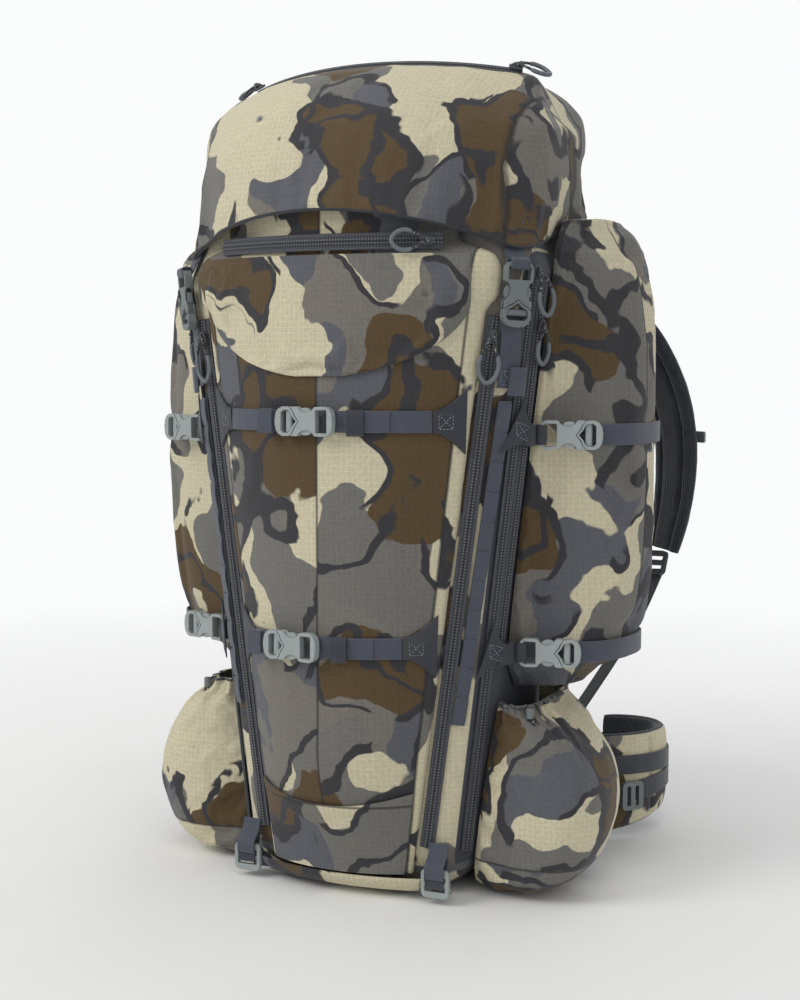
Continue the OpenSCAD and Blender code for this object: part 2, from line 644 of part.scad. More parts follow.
// ---- lid ----
// [share of the height, scale of the sides, scale of the front, inset of the back]
lid_rings = [[0, 1, 1, 0], [0.2, 1, 0.98, 0], [0.46, 0.995, 0.935, 0], [0.7, 0.975, 0.84, 4], [0.85,
        0.93, 0.71, 10],
    [0.95, 0.84, 0.55, 20], [0.987, 0.72, 0.41, 34], [1, 0.5, 0.27, 50]];
lid_ceiling = 692;
lid_wall = 3;
function lid_hem(x, y) =
    603 + 38.6 * ease((y + 205) / 190) + 35 * max(0, 1 - pow(x / 175, 2)) * ease((-180 - y) / 25);
lid_corner = 48;
lid_side_y = -160;
function lid_front(x) = front_y - 8 - 56 * max(0, 1 - pow(abs(x) / 150, 2.2));
function lid_crown(x, y) = lid_top - 14 * pow(x / lid_half, 2) - 8 * pow((y + 90) / 160, 2);
// Outline in plan: scaled by s across and by f at the front, pulled in by b at the back and by t all round.
function lid_outline(s, f, b, t) = let (h = lid_half * s - t, r = (lid_corner - t) * s, n = 5) [
    for (k = [0 : 12]) let (x = mix(-112, 112, k / 12)) [x * s, lid_front(x) * f + t],
    for (k = [1 : n]) let (a = -80 + 80 * k / n) [h - r + r * cos(a), (lid_side_y
        + lid_corner * sin(a)) * f - t * sin(a)],
    for (k = [0 : 4]) let (a = 90 * k / 4) [h - 26 + 26 * cos(a), -26 - b - t + 26 * sin(a)],
    for (k = [0 : 4]) let (a = 90 + 90 * k / 4) [-h + 26 + 26 * cos(a), -26 - b - t + 26 * sin(a)],
    for (k = [0 : n - 1]) let (a = 180 + 80 * k / n) [-h + r + r * cos(a), (lid_side_y
        + lid_corner * sin(a)) * f - t * sin(a)]
];
// [share of the way down from the ceiling, scale of the front]
skirt_rings = [[0, 0.885], [0.5, 0.96], [1, 1]];
module lid() {
    color(fabric) shifted() loft(concat(
        [for (r = skirt_rings) [for (p = lid_outline(1, r[1], 0, lid_wall))
            [p[0], p[1], mix(lid_ceiling, lid_hem(p[0], p[1] / r[1]), r[0])]]],
        [for (r = lid_rings) [for (p = lid_outline(r[1], r[2], r[3], 0))
            [p[0], p[1], mix(lid_hem(p[0] / r[1], p[1] / r[2]), lid_crown(p[0], p[1]), r[0])]]]));
}
lid_arc = [0, 110, 720.9];
lid_arc_r = 262.2;
lid_arc_tilt = 46;
lid_arc_lean = -14;
module lid_zip_tape() {
    color(slate) shifted() arc_tape(lid_arc, lid_arc_r, 32.5, 12, lid_arc_tilt, lid_arc_lean);
}

// ---- harness ----
shoulder_line = [[70, 23, 540], [94, 58, 574], [136, 98, 570], [181, 124, 536], [213, 136, 482],
    [228, 139, 426], [228, 138, 362], [218, 134, 303]];
module shoulder_pad() {
    path = curve(shoulder_line, 3);
    n = len(path) - 1;
    ways = [for (i = [0 : n]) mix([1, 0.15, 0], [0.84, -0.54, 0.1], ease(i / n * 1.4))];
    sweep(path, ways, [for (i = [0 : n]) pad_w - 14 * pow(2 * i / n - 1, 4) - 8 * i / n],
        [for (i = [0 : n]) pad_t - 5 * pow(2 * i / n - 1, 6)], n = 14);
}
web_start = [214, 132, 281];
web_end = [150, 12, 124];
module shoulder_webbing() {
    ribbon(curve([web_start, mix(web_start, web_end, 0.4) + [4, 6, -4], web_end], 5), [0.8, -0.5, 0.2]);
    placed(web_start + [0, 0, 6], [0.1, 0.3, 1], [-0.5, -0.84, 0.2]) difference() {
        translate([0, 0, 1.2]) slab(26, 28, 5, 5);
        for (x = [-5, 5]) translate([x, 0, -5]) slab(4.6, web_w + 1.2, 1.2, 14);
    }
}
module sternum_slider() {
    placed([233.8, 148, 424], [0, 0, 1], [0.54, 0.84, 0]) {
        slab(16, 30, 3, 5);
        translate([0, 22, 1]) slab(12, 20, 2, 2.4);
    }
}

belt_line = [[100, 30], [132, 34], [168, 48], [197, 72], [214, 104], [216, 138], [202, 166], [172,
    183], [138, 190]];
belt_mid = 4 + belt_h / 2;
module belt_wing() {
    path = curve([for (p = belt_line) [p[0], p[1], 0]], 2);
    n = len(path) - 1;
    sweep([for (i = [0 : n]) [path[i][0], path[i][1], belt_mid + 12 * ease(i / n)]], [0, 0, 1],
        [for (i = [0 : n]) mix(belt_h, 74, ease(i / n)) - 14 * pow(i / n, 8)],
        [for (i = [0 : n]) 15 - 5 * pow(2 * i / n - 1, 6)], n = 16, power = 0.45);
}
function belt_out(k) = let (t = unit(belt_line[min(k + 1, 8)] - belt_line[k - 1])) [t[1], -t[0], 0];
module belt_webbing(side) {
    for (z = [44, 86])
        ribbon(curve([for (k = [1 : 8]) [belt_line[k][0], belt_line[k][1],
            z + (z > 60 ? -2 : 2.4) * k] + belt_out(k) * 9.6], 2),
            [0, 0, 1]);
    placed([belt_line[3][0], belt_line[3][1], 48] + belt_out(3) * 11.6, [belt_out(3)[1],
        -belt_out(3)[0], 0], belt_out(3))
        difference() {
            slab(26, 30, 5, 5);
            for (x = [-5, 5]) translate([x, 0, -1]) slab(4.6, web_w + 1, 1.2, 9);
        }
    if (side > 0)
        placed([belt_line[8][0] - 22, belt_line[8][1] + 12, 67], [-1, 0.1, 0], [0.1, 1, 0]) buckle_plug();
    else
        placed([belt_line[8][0] - 20, belt_line[8][1] + 12, 67], [1, -0.1, 0], [0.1, 1, 0]) buckle_housing();
}

main_bag();
bottom_panel();
front_panel();
front_cuff();
front_pocket();
color(fabric) shifted() sided(-1) side_pouch();  // side_pouch_left
color(fabric) shifted() sided(1) side_pouch();  // side_pouch_right
color(fabric) shifted() sided(-1) lower_pocket();  // lower_pocket_left
color(fabric) shifted() sided(1) lower_pocket();  // lower_pocket_right
collar();
hydration_sleeve();
frame_stays();
frame_crossbars();
lumbar_pad();
back_pad();
yoke();
anchor_patches();
front_straps();
side_straps();
strap_keepers();
daisy_chains();
lid_anchor_straps();
bottom_straps();
zip_tapes();
front_buckle_sockets();
side_buckle_sockets();
lid();
lid_zip_tape();
lid_straps();
lid_buckle_sockets();
arc_slider(lid_arc, lid_arc_r, -31, 1, lid_arc_tilt, lid_arc_lean);  // lid_slider_left
arc_slider(lid_arc, lid_arc_r, 31, -1, lid_arc_tilt, lid_arc_lean);  // lid_slider_right
front_plug(0);  // front_plug_upper
front_plug(1);  // front_plug_lower
color(buckle_grey) shifted() sided(-1) side_plug(side_z[0]);  // side_plug_left_upper
color(buckle_grey) shifted() sided(-1) side_plug(side_z[1]);  // side_plug_left_lower
color(buckle_grey) shifted() sided(1) side_plug(side_z[0]);  // side_plug_right_upper
color(buckle_grey) shifted() sided(1) side_plug(side_z[1]);  // side_plug_right_lower
color(buckle_grey) shifted() sided(-1) lid_plug();  // lid_plug_left
color(buckle_grey) shifted() sided(1) lid_plug();  // lid_plug_right
arc_slider(pocket_arc, pocket_arc_r, 23, 1);  // pocket_slider
sided(-1) front_slider();  // front_slider_left
sided(1) front_slider();  // front_slider_right
sided(-1) bag_slider();  // bag_slider_left
sided(1) bag_slider();  // bag_slider_right
sided(-1) pouch_slider();  // pouch_slider_left
sided(1) pouch_slider();  // pouch_slider_right
color(buckle_grey) shifted() sided(-1) bottom_lock();  // bottom_lock_left
color(buckle_grey) shifted() sided(1) bottom_lock();  // bottom_lock_right
haul_loop();
color(mesh_navy) shifted() sided(-1) shoulder_pad();  // shoulder_pad_left
color(mesh_navy) shifted() sided(1) shoulder_pad();  // shoulder_pad_right
color(slate) shifted() sided(-1) shoulder_webbing();  // shoulder_webbing_left
color(slate) shifted() sided(1) shoulder_webbing();  // shoulder_webbing_right
color(buckle_grey) shifted() sided(-1) sternum_slider();  // sternum_slider_left
color(buckle_grey) shifted() sided(1) sternum_slider();  // sternum_slider_right
color(mesh_navy) shifted() sided(-1) belt_wing();  // belt_wing_left
color(mesh_navy) shifted() sided(1) belt_wing();  // belt_wing_right
color(slate) shifted() sided(-1) belt_webbing(-1);  // belt_webbing_left
color(slate) shifted() sided(1) belt_webbing(1);  // belt_webbing_right
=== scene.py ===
"""Looks of the hunting backpack: camouflage ripstop over a framed bag, with webbing, zips and harness."""

import json
import math

import bpy
import numpy as np
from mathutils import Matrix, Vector
from mathutils.bvhtree import BVHTree

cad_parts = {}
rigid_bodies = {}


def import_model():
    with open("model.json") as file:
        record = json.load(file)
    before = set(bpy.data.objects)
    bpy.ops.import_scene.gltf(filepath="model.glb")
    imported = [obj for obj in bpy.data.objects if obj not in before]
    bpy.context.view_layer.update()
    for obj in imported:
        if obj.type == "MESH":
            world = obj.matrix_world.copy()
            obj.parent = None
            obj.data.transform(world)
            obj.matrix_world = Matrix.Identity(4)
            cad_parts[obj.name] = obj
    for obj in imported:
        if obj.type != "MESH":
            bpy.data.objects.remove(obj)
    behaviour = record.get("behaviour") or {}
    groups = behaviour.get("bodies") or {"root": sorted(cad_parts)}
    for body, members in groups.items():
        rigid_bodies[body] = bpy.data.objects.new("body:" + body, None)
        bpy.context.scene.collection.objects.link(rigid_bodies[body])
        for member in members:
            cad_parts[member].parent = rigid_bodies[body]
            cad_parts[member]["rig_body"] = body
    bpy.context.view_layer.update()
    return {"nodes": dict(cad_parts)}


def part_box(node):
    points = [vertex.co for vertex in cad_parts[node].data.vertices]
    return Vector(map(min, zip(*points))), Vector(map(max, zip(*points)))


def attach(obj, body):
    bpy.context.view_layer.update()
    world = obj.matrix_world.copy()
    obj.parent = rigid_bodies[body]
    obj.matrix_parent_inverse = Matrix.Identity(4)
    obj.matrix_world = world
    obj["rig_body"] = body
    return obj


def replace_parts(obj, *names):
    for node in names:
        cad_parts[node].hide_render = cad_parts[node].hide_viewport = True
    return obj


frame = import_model()

# Design coordinates are millimetres with the frame's plane at y = 0; the stays give its place.
Y0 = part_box("frame_stays")[0].y * 1000 - 1.5
SIDES = ((-1, "left"), (1, "right"))


# ---- numbers ----
def ease(t):
    """A smooth step from 0 to 1 as t goes from 0 to 1."""
    t = np.clip(t, 0, 1)
    return t * t * (3 - 2 * t)


def unit(v):
    v = np.asarray(v, float)
    return v / np.maximum(np.linalg.norm(v, axis=-1, keepdims=True), 1e-9)


def mix(a, b, t):
    return a + (b - a) * t


def row(p):
    """Design millimetres to the row frame in metres."""
    return (np.asarray(p, float) + [0, Y0, 0]) / 1000


def design(co):
    """Row-frame metres to design millimetres."""
    return np.asarray(co, float) * 1000 - [0, Y0, 0]


def hash3(i, seed):
    """A repeatable number from -1 to 1 for each whole-numbered point."""
    n = (i[..., 0] * 374761393 + i[..., 1] * 668265263 + i[..., 2] * 362437 + seed * 974711) & 0x7FFFFFFF
    n = ((n ^ (n >> 13)) * 1274126177) & 0x7FFFFFFF
    return ((n ^ (n >> 16)) & 0xFFFF) / 32767.5 - 1


def noise(p, size, seed=0):
    """Smooth noise from -1 to 1 whose features are about size apart."""
    q = np.asarray(p, float) / size + 100
    i = np.floor(q).astype(np.int64)
    f = q - i
    f = f * f * (3 - 2 * f)
    total = 0
    for c in range(8):
        o = np.array([c & 1, c >> 1 & 1, c >> 2 & 1])
        w = np.prod(np.where(o, f, 1 - f), axis=-1)
        total = total + w * hash3(i + o, seed)
    return total


def catmull(a, b, c, d, t):
    return 0.5 * (2 * b + (c - a) * t + (2 * a - 5 * b + 4 * c - d) * t**2
                  + (3 * b - a - 3 * c + d) * t**3)


def spline(points, n):
    """n points along a smooth curve through the given ones."""
    p = np.asarray(points, float)
    u = np.linspace(0, len(p) - 1, n)
    i = np.minimum(u.astype(int), len(p) - 2)
    t = (u - i)[:, None]
    return catmull(p[np.maximum(i - 1, 0)], p[i], p[i + 1], p[np.minimum(i + 2, len(p) - 1)], t)


def travel(p):
    """The length along a line up to each of its points."""
    return np.concatenate([[0], np.cumsum(np.linalg.norm(np.diff(p, axis=0), axis=1))])


def squared(a, power):
    """Cosine and sine of a, pushed out towards a square."""
    c, s = np.cos(a), np.sin(a)
    return np.sign(c) * np.abs(c) ** power, np.sign(s) * np.abs(s) ** power


# ---- the bag's own surfaces, as in the CAD ----
FRONT, CORNER = -200.0, 45.0
# Half the bag's width at its base, how fast it widens, and where it stops
BASE_HALF, TAPER, TAPER_TOP = 115, 0.1185, 590
# How far the base is drawn in, by height
BASE_Z, BASE_IN = [0, 6.6, 17.6, 40], [30, 15, 6, 0]
# Heights of the compression straps, on the front and on the side pouches
STRAPS = (450.0, 243.0)
SIDE_STRAPS = (437.0, 233.0)
ZUP = np.array([0.0, 0.0, 1.0])


def half_width(z):
    """Half the main bag's width at height z."""
    return BASE_HALF + TAPER * np.minimum(z, TAPER_TOP) - 14 * ease((z - 582) / 36)


def base_front(z):
    """The depth of the bag's front at height z, near the base."""
    return FRONT + float(np.interp(z, BASE_Z, BASE_IN))


def corner_point(z, angle, out=0.0):
    """A point out mm off the bag's rounded front corner, at an angle from the side."""
    a = np.radians(angle)
    z = np.asarray(z, float)
    r = CORNER + out
    x, y = half_width(z) - CORNER + r * np.cos(a), FRONT + CORNER - r * np.sin(a)
    return np.stack(np.broadcast_arrays(x, y, z), -1)


def out_at(angle):
    """The way out of the bag's front corner at an angle from the side."""
    a = math.radians(angle)
    return np.array([math.cos(a), -math.sin(a), 0])


def bag_front(x, z):
    """The depth of the main bag's front face."""
    e = np.maximum(0, np.abs(x) - half_width(z) + CORNER)
    return FRONT + CORNER - np.sqrt(np.maximum(0, CORNER**2 - e * e))


def panel_half(z):
    """Half the width of the stuffed front panel, which narrows sharply under the lid."""
    flare = 8 * np.clip(z / 545, 0, 1) + 10 * ease((z - 548) / 16) - 26 * ease((z - 600) / 14)
    return half_width(z) - CORNER + flare


def panel_y(x, z):
    """The depth of the stuffed front panel."""
    bulge = 52 * mix(0.42, 1, ease((z - 22) / 120)) * mix(1, 0.86, ease((z - 470) / 150))
    return bag_front(x, z) - 2 - bulge * np.maximum(0, 1 - (np.abs(x) / (panel_half(z) + 4)) ** 2.2)


# ---- meshes ----
def set_uv(me, uv):
    """Gives a mesh one UV layer from a value for each vertex."""
    layer = me.uv_layers.new(name="UVMap")
    loops = np.zeros(len(me.loops), np.int64)
    me.loops.foreach_get("vertex_index", loops)
    layer.data.foreach_set("uv", np.asarray(uv, float)[loops].ravel())


def linked(name, data):
    o = bpy.data.objects.new(name, data)
    bpy.context.scene.collection.objects.link(o)
    return o


def new_object(name, co, faces, uv=None):
    me = bpy.data.meshes.new(name)
    me.from_pydata([tuple(p) for p in co], [], [tuple(f) for f in faces])
    if uv is not None:
        set_uv(me, uv)
    me.validate()
    me.shade_smooth()
    me.set_sharp_from_angle(angle=0.75)
    return linked(name, me)


def grid_faces(rows, cols, closed=False):
    faces = []
    for r in range(rows - 1):
        for c in range(cols if closed else cols - 1):
            a, b = r * cols + c, r * cols + (c + 1) % cols
            faces.append((a, b, b + cols, a + cols))
    return faces


def end_faces(rows, cols):
    return [tuple(range(cols))[::-1], tuple(range((rows - 1) * cols, rows * cols))]


def shell(name, rings, closed=False, cap_low=False, cap_high=False):
    """A surface through rings of design points, shape (rows, cols, 3)."""
    rings = np.asarray(rings, float)
    rows, cols = rings.shape[:2]
    faces = grid_faces(rows, cols, closed)
    faces += [f for f, cap in zip(end_faces(rows, cols), (cap_low, cap_high)) if cap]
    return new_object(name, row(rings.reshape(-1, 3)), faces)


def finish_piece(o, body, material, nodes=()):
    """Gives a piece its material, the body it rides on, and the CAD nodes it replaces."""
    o.data.materials.clear()
    o.data.materials.append(material)
    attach(o, body)
    if nodes:
        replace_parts(o, *nodes)
    return o


def ribbon(name, path, out, width=20.0, thick=1.6, profile=None):
    """A strip along design points; out is the way it faces. UV is across and along, in metres."""
    p = np.asarray(path, float)
    n = len(p)
    t = unit(np.gradient(p, axis=0))
    out = np.broadcast_to(np.asarray(out, float), p.shape)
    side = unit(np.cross(t, out))
    up = np.cross(side, t)
    w = np.broadcast_to(np.asarray(width, float), (n,))[:, None, None]
    if profile is None:
        h = thick / 2
        profile = [(-0.5, -0.5), (-0.47, h), (-0.25, h + 0.02), (0.25, h + 0.02), (0.47, h), (0.5, -0.5),
                   (0.3, -h), (-0.3, -h)]
    prof = np.array(profile, float)
    rings = p[:, None] + side[:, None] * prof[None, :, :1] * w + up[:, None] * prof[None, :, 1:2]
    m = len(prof)
    uv = np.stack(np.broadcast_arrays(prof[None, :, 0] * w[:, :, 0], travel(p)[:, None]), -1) / 1000
    faces = grid_faces(n, m, True) + end_faces(n, m)
    return new_object(name, row(rings.reshape(-1, 3)), faces, uv.reshape(-1, 2))


def tube(name, path, radius, sides=8, cap=True):
    """A round cord along design points, with the length along it in its UV."""
    p = np.asarray(path, float)
    t = unit(np.gradient(p, axis=0))
    ref = np.array([0.31, 0.17, 0.93])
    if abs(t[0] @ ref) >= 0.9:
        ref = np.array([1.0, 0, 0])
    side = [unit(np.cross(t[0], ref))]
    for k in range(1, len(p)):
        side.append(unit(side[-1] - t[k] * (side[-1] @ t[k])))
    side = np.array(side)
    up = np.cross(t, side)
    a = np.arange(sides) * 2 * math.pi / sides
    r = np.broadcast_to(np.asarray(radius, float), (len(p),))[:, None, None]
    rings = p[:, None] + r * (side[:, None] * np.cos(a)[:, None] + up[:, None] * np.sin(a)[:, None])
    uv = np.stack(np.broadcast_arrays(a[None, :] / 6.283, travel(p)[:, None] / 1000), -1)
    faces = grid_faces(len(p), sides, True) + (end_faces(len(p), sides) if cap else [])
    return new_object(name, row(rings.reshape(-1, 3)), faces, uv.reshape(-1, 2))


def join(name, parts):
    """Joins objects into the first one."""
    bpy.ops.object.select_all(action="DESELECT")
    for o in parts:
        o.select_set(True)
    bpy.context.view_layer.objects.active = parts[0]
    bpy.ops.object.join()
    parts[0].name = name
    parts[0].data.name = name
    return parts[0]


def mirrored(points, side):
    p = np.array(points, float)
    p[..., 0] *= side
    return p


# ---- materials ----
def srgb(r, g, b):
    """A colour given as 0 to 255, as linear numbers."""
    linear = [c / 255 / 12.92 if c < 10 else ((c / 255 + 0.055) / 1.055) ** 2.4 for c in (r, g, b)]
    return (*linear, 1.0)


def tint(color, k, more=0.0):
    return tuple(min(1, x * k + more) for x in color[:3]) + (1,)


class Paint:
    """A material's node tree, written as calls."""

    def __init__(self, name, rough=0.85, sheen=0.0, coat=0.0):
        self.material = bpy.data.materials.new(name)
        self.material.use_nodes = True
        self.tree = self.material.node_tree
        self.tree.nodes.clear()
        self.shader = self.node("ShaderNodeBsdfPrincipled")
        self.shader.inputs["Roughness"].default_value = rough
        self.shader.inputs["Sheen Weight"].default_value = sheen
        self.shader.inputs["Sheen Roughness"].default_value = 0.5
        self.shader.inputs["Coat Weight"].default_value = coat
        out = self.node("ShaderNodeOutputMaterial")
        self.tree.links.new(self.shader.outputs[0], out.inputs[0])
        self.coords = self.node("ShaderNodeTexCoord")
        self.object = self.coords.outputs["Object"]
        self.uv = self.coords.outputs["UV"]

    def node(self, kind, inputs=(), **props):
        n = self.tree.nodes.new(kind)
        for k, v in props.items():
            setattr(n, k, v)
        for k, v in dict(inputs).items():
            self.put(n.inputs[k], v)
        return n

    def put(self, socket, v):
        if isinstance(v, bpy.types.NodeSocket):
            self.tree.links.new(v, socket)
        else:
            socket.default_value = v

    def math(self, op, *args):
        return self.node("ShaderNodeMath", enumerate(args), operation=op).outputs[0]

    def add(self, a, b):
        return self.math("ADD", a, b)

    def sub(self, a, b):
        return self.math("SUBTRACT", a, b)

    def mul(self, a, b):
        return self.math("MULTIPLY", a, b)

    def absolute(self, a):
        return self.math("ABSOLUTE", a)

    def wave(self, a, period):
        """A triangle wave that rises over one period and falls over the next."""
        return self.math("PINGPONG", a, period)

    def over(self, a, b):
        return self.math("GREATER_THAN", a, b)

    def vec(self, op, *args):
        n = self.node("ShaderNodeVectorMath", enumerate(args), operation=op)
        return n.outputs["Value"] if op in ("DOT_PRODUCT", "LENGTH", "DISTANCE") else n.outputs[0]

    def scaled(self, v, k):
        return self.node("ShaderNodeVectorMath", {0: v, "Scale": k}, operation="SCALE").outputs[0]

    def noise(self, v, scale, detail=0.0, color=False, rough=0.5):
        inputs = {"Vector": v, "Scale": scale, "Detail": detail, "Roughness": rough}
        n = self.node("ShaderNodeTexNoise", inputs)
        return n.outputs["Color" if color else "Fac"]

    def blend(self, fac, a, b):
        n = self.node("ShaderNodeMix", data_type="RGBA", clamp_factor=True)
        for i, v in ((0, fac), (6, a), (7, b)):
            self.put(n.inputs[i], v)
        return n.outputs[2]

    def step(self, x, at, soft=0.004):
        """0 below at, 1 above it."""
        return self.node("ShaderNodeMapRange", {0: x, 1: at, 2: at + soft}, clamp=True).outputs[0]

    def band(self, x, at, half, soft):
        """1 within half of at, falling to 0 over soft."""
        d = self.absolute(self.sub(x, at))
        return self.sub(1.0, self.step(d, half, soft))

    def xyz(self, v):
        n = self.node("ShaderNodeSeparateXYZ", {0: v})
        return n.outputs[0], n.outputs[1], n.outputs[2]

    def combine(self, x, y, z):
        return self.node("ShaderNodeCombineXYZ", {0: x, 1: y, 2: z}).outputs[0]

    def finish(self, color, height=None, strength=0.4, distance=0.001, rough=None):
        """Takes colour, roughness and a bump of the given strength and height in metres."""
        self.put(self.shader.inputs["Base Color"], color)
        if rough is not None:
            self.tree.links.new(rough, self.shader.inputs["Roughness"])
        if height is not None:
            b = self.node("ShaderNodeBump", {"Strength": strength, "Distance": distance, "Height": height})
            self.tree.links.new(b.outputs[0], self.shader.inputs["Normal"])
        return self.material


CREAM, WARM, SLATE = srgb(206, 198, 169), srgb(117, 112, 105), srgb(90, 92, 99)
OLIVE, BROWN, CHAR = srgb(112, 110, 105), srgb(86, 67, 38), srgb(50, 49, 54)


def weave(p):
    """A ripstop grid of 5 mm and a plain weave's threads, by the way the surface faces."""
    x, y, z = p.xyz(p.object)
    geo = p.node("ShaderNodeNewGeometry")
    nx, ny, nz = p.xyz(p.vec("ABSOLUTE", geo.outputs["Normal"]))
    lines = None
    for c, n in ((x, nx), (y, ny), (z, nz)):
        saw = p.wave(c, 0.0025)
        line = p.mul(p.sub(1.0, p.step(saw, 0.0002, 0.0004)), p.sub(1.0, p.step(n, 0.55, 0.3)))
        lines = line if lines is None else p.math("MAXIMUM", lines, line)
    fine = p.noise(p.vec("MULTIPLY", p.object, (260.0, 260.0, 900.0)), 1.0, 1.0)
    cross = p.noise(p.vec("MULTIPLY", p.object, (900.0, 900.0, 240.0)), 1.0, 1.0)
    return lines, p.mul(p.add(fine, cross), 0.5)


def camo(name, cuts=(), shift=(0, 0, 0), dark=None):
    """Printed camouflage. Each cut (normal, distance in mm, shift) moves the print beyond a plane and
    sews a seam on it. dark (normal, distance) is the plane beyond which the cloth is plain."""
    p = Paint(name, rough=0.82, sheen=0.12)
    pos = p.vec("ADD", p.object, tuple(shift))
    seam = None
    for normal, distance, move in cuts:
        d = p.sub(p.vec("DOT_PRODUCT", p.object, tuple(normal)), distance / 1000)
        pos = p.vec("ADD", pos, p.scaled(p.combine(*move), p.over(d, 0.0)))
        line = p.band(d, 0.0, 0.0005, 0.0012)
        seam = line if seam is None else p.math("MAXIMUM", seam, line)
    wob = p.scaled(p.vec("SUBTRACT", p.noise(pos, 19.0, 0.0, True), (0.5, 0.5, 0.5)), 0.07)
    jag = p.scaled(p.vec("SUBTRACT", p.noise(pos, 58.0, 1.0, True), (0.5, 0.5, 0.5)), 0.015)
    q = p.vec("MULTIPLY", p.vec("ADD", p.vec("ADD", pos, wob), jag), (1.0, 1.0, 0.82))

    def field(offset, scale):
        return p.noise(p.vec("ADD", q, offset), scale)

    base = field((0, 0, 0), 11.0)
    second = field((3.1, 1.7, 0.4), 11.5)
    third = field((7.3, 4.1, 2.2), 10.0)
    fourth = field((1.3, 8.1, 5.2), 8.0)
    soft = 0.008
    grey = p.blend(p.step(fourth, 0.5, soft), WARM, SLATE)
    color = p.blend(p.step(base, 0.53, soft), CREAM, grey)
    color = p.blend(p.step(second, 0.605, soft), color, OLIVE)
    edge = p.mul(p.band(base, 0.558, 0.03, soft), p.step(second, 0.5, 0.02))
    rim = p.mul(p.band(third, 0.585, 0.026, soft), p.step(fourth, 0.5, 0.02))
    river = p.mul(p.band(second, 0.41, 0.022, soft), p.step(third, 0.5, 0.02))
    color = p.blend(p.step(third, 0.605, soft), color, BROWN)
    for mask in (edge, rim, river):
        color = p.blend(mask, color, CHAR)
    lines, thread = weave(p)
    shade = p.add(1.0, p.mul(lines, 0.13))
    shade = p.sub(shade, p.mul(p.step(thread, 0.42, 0.2), 0.16))
    color = p.scaled(color, shade)
    height = p.add(p.mul(lines, 0.5), p.mul(thread, 0.9))
    if dark is not None:
        normal, distance = dark
        x, y, z = p.xyz(p.object)
        side = p.absolute(x)
        d = p.vec("DOT_PRODUCT", p.combine(side, y, z), tuple(normal))
        color = p.blend(p.step(d, distance / 1000, 0.0005), color, srgb(62, 65, 74))
    if seam is not None:
        color = p.blend(p.mul(seam, 0.75), color, srgb(35, 34, 34))
        height = p.sub(height, p.mul(seam, 3.0))
    return p.finish(color, height, 0.35, 0.0006)


def webbing_paint(name, color):
    """Woven nylon: fine ribs along its length, with painted light on their ridges and painted shade in their
    grooves.
    """
    p = Paint(name, rough=0.62, sheen=0.25)
    u, v, _ = p.xyz(p.uv)
    rib = p.mul(p.wave(p.add(u, 1.0), 0.0009), 1100.0)
    weft = p.mul(p.wave(p.add(v, p.mul(p.wave(u, 0.0012), 0.5)), 0.0007), 1400.0)
    fuzz = p.noise(p.object, 700.0, 2.0)
    worn = p.noise(p.object, 35.0, 3.0)
    # Painted light and shade: each rib's ridge is painted lighter and its groove darker
    c = p.blend(rib, tint(color, 0.5), tint(color, 1.45))
    c = p.blend(p.mul(fuzz, 0.35), c, tint(color, 1.9))
    c = p.blend(p.mul(p.step(worn, 0.5, 0.4), 0.22), c, srgb(110, 114, 122))
    return p.finish(c, p.add(rib, p.mul(weft, 0.4)), 0.55, 0.0004)


def zip_paint(name, half):
    """Woven tape with stitches, and a coil whose teeth show as pale dots on either side of a dark line; the
    dots are painted highlights on the raised half of each tooth.
    """
    p = Paint(name, rough=0.6, sheen=0.2)
    u, v, _ = p.xyz(p.uv)
    a = p.absolute(u)
    c = p.blend(p.noise(p.object, 600.0, 2.0), srgb(42, 44, 51), srgb(66, 69, 77))
    tooth = p.wave(v, 0.0014)
    # Painted highlights: pale dots on the raised half of each tooth
    dots = p.mul(p.band(a, 0.0017, 0.0004, 0.0003), p.over(tooth, 0.0007))
    core = p.sub(1.0, p.step(a, 0.0023, 0.0003))
    c = p.blend(core, c, srgb(26, 27, 31))
    c = p.blend(p.mul(dots, 0.8), c, srgb(128, 132, 138))
    dash = p.over(p.wave(v, 0.0016), 0.0006)
    line = p.mul(p.band(a, half / 1000 - 0.0016, 0.00025, 0.0002), dash)
    c = p.blend(p.mul(line, 0.5), c, srgb(120, 122, 128))
    h = p.add(p.mul(tooth, 500.0), p.mul(line, -0.6))
    return p.finish(c, h, 0.6, 0.0006)


def cloth_paint(name, color, rough=0.8, speck=0.25):
    """Plain coated cloth with a fine weave and faint soiling."""
    p = Paint(name, rough=rough, sheen=0.15)
    _, thread = weave(p)
    soil = p.noise(p.object, 22.0, 4.0)
    c = p.blend(p.mul(p.step(thread, 0.4, 0.25), speck), color, tint(color, 0.45))
    c = p.blend(p.mul(p.step(soil, 0.5, 0.4), 0.18), c, srgb(120, 118, 112))
    return p.finish(c, thread, 0.4, 0.0006)


def mesh_paint(name, color):
    """Spacer mesh: rows of small holes in a knitted face, darkened with painted shade."""
    p = Paint(name, rough=0.85, sheen=0.4)
    v = p.node("ShaderNodeTexVoronoi", {"Vector": p.object, "Scale": 420.0, "Randomness": 0.15})
    hole = p.sub(1.0, p.step(v.outputs["Distance"], 0.28, 0.2))
    worn = p.noise(p.object, 30.0, 3.0)
    # Painted shade: the holes are darkened in the colour
    c = p.blend(hole, color, tint(color, 0.25))
    c = p.blend(p.mul(p.step(worn, 0.5, 0.3), 0.15), c, srgb(80, 86, 96))
    return p.finish(c, v.outputs["Distance"], 0.8, 0.0012)


def plastic_paint(name, color, rough=0.42):
    """Moulded acetal: slight mould texture and handling scuffs."""
    p = Paint(name, rough=rough, coat=0.08)
    grain = p.noise(p.object, 900.0, 2.0)
    scuff = p.noise(p.vec("MULTIPLY", p.object, (60.0, 60.0, 220.0)), 1.0, 4.0)
    c = p.blend(p.mul(p.step(scuff, 0.52, 0.3), 0.3), color, tint(color, 1.35, 0.02))
    c = p.blend(p.mul(grain, 0.16), c, tint(color, 0.6))
    return p.finish(c, grain, 0.12, 0.0004, p.add(rough - 0.1, p.mul(scuff, 0.25)))


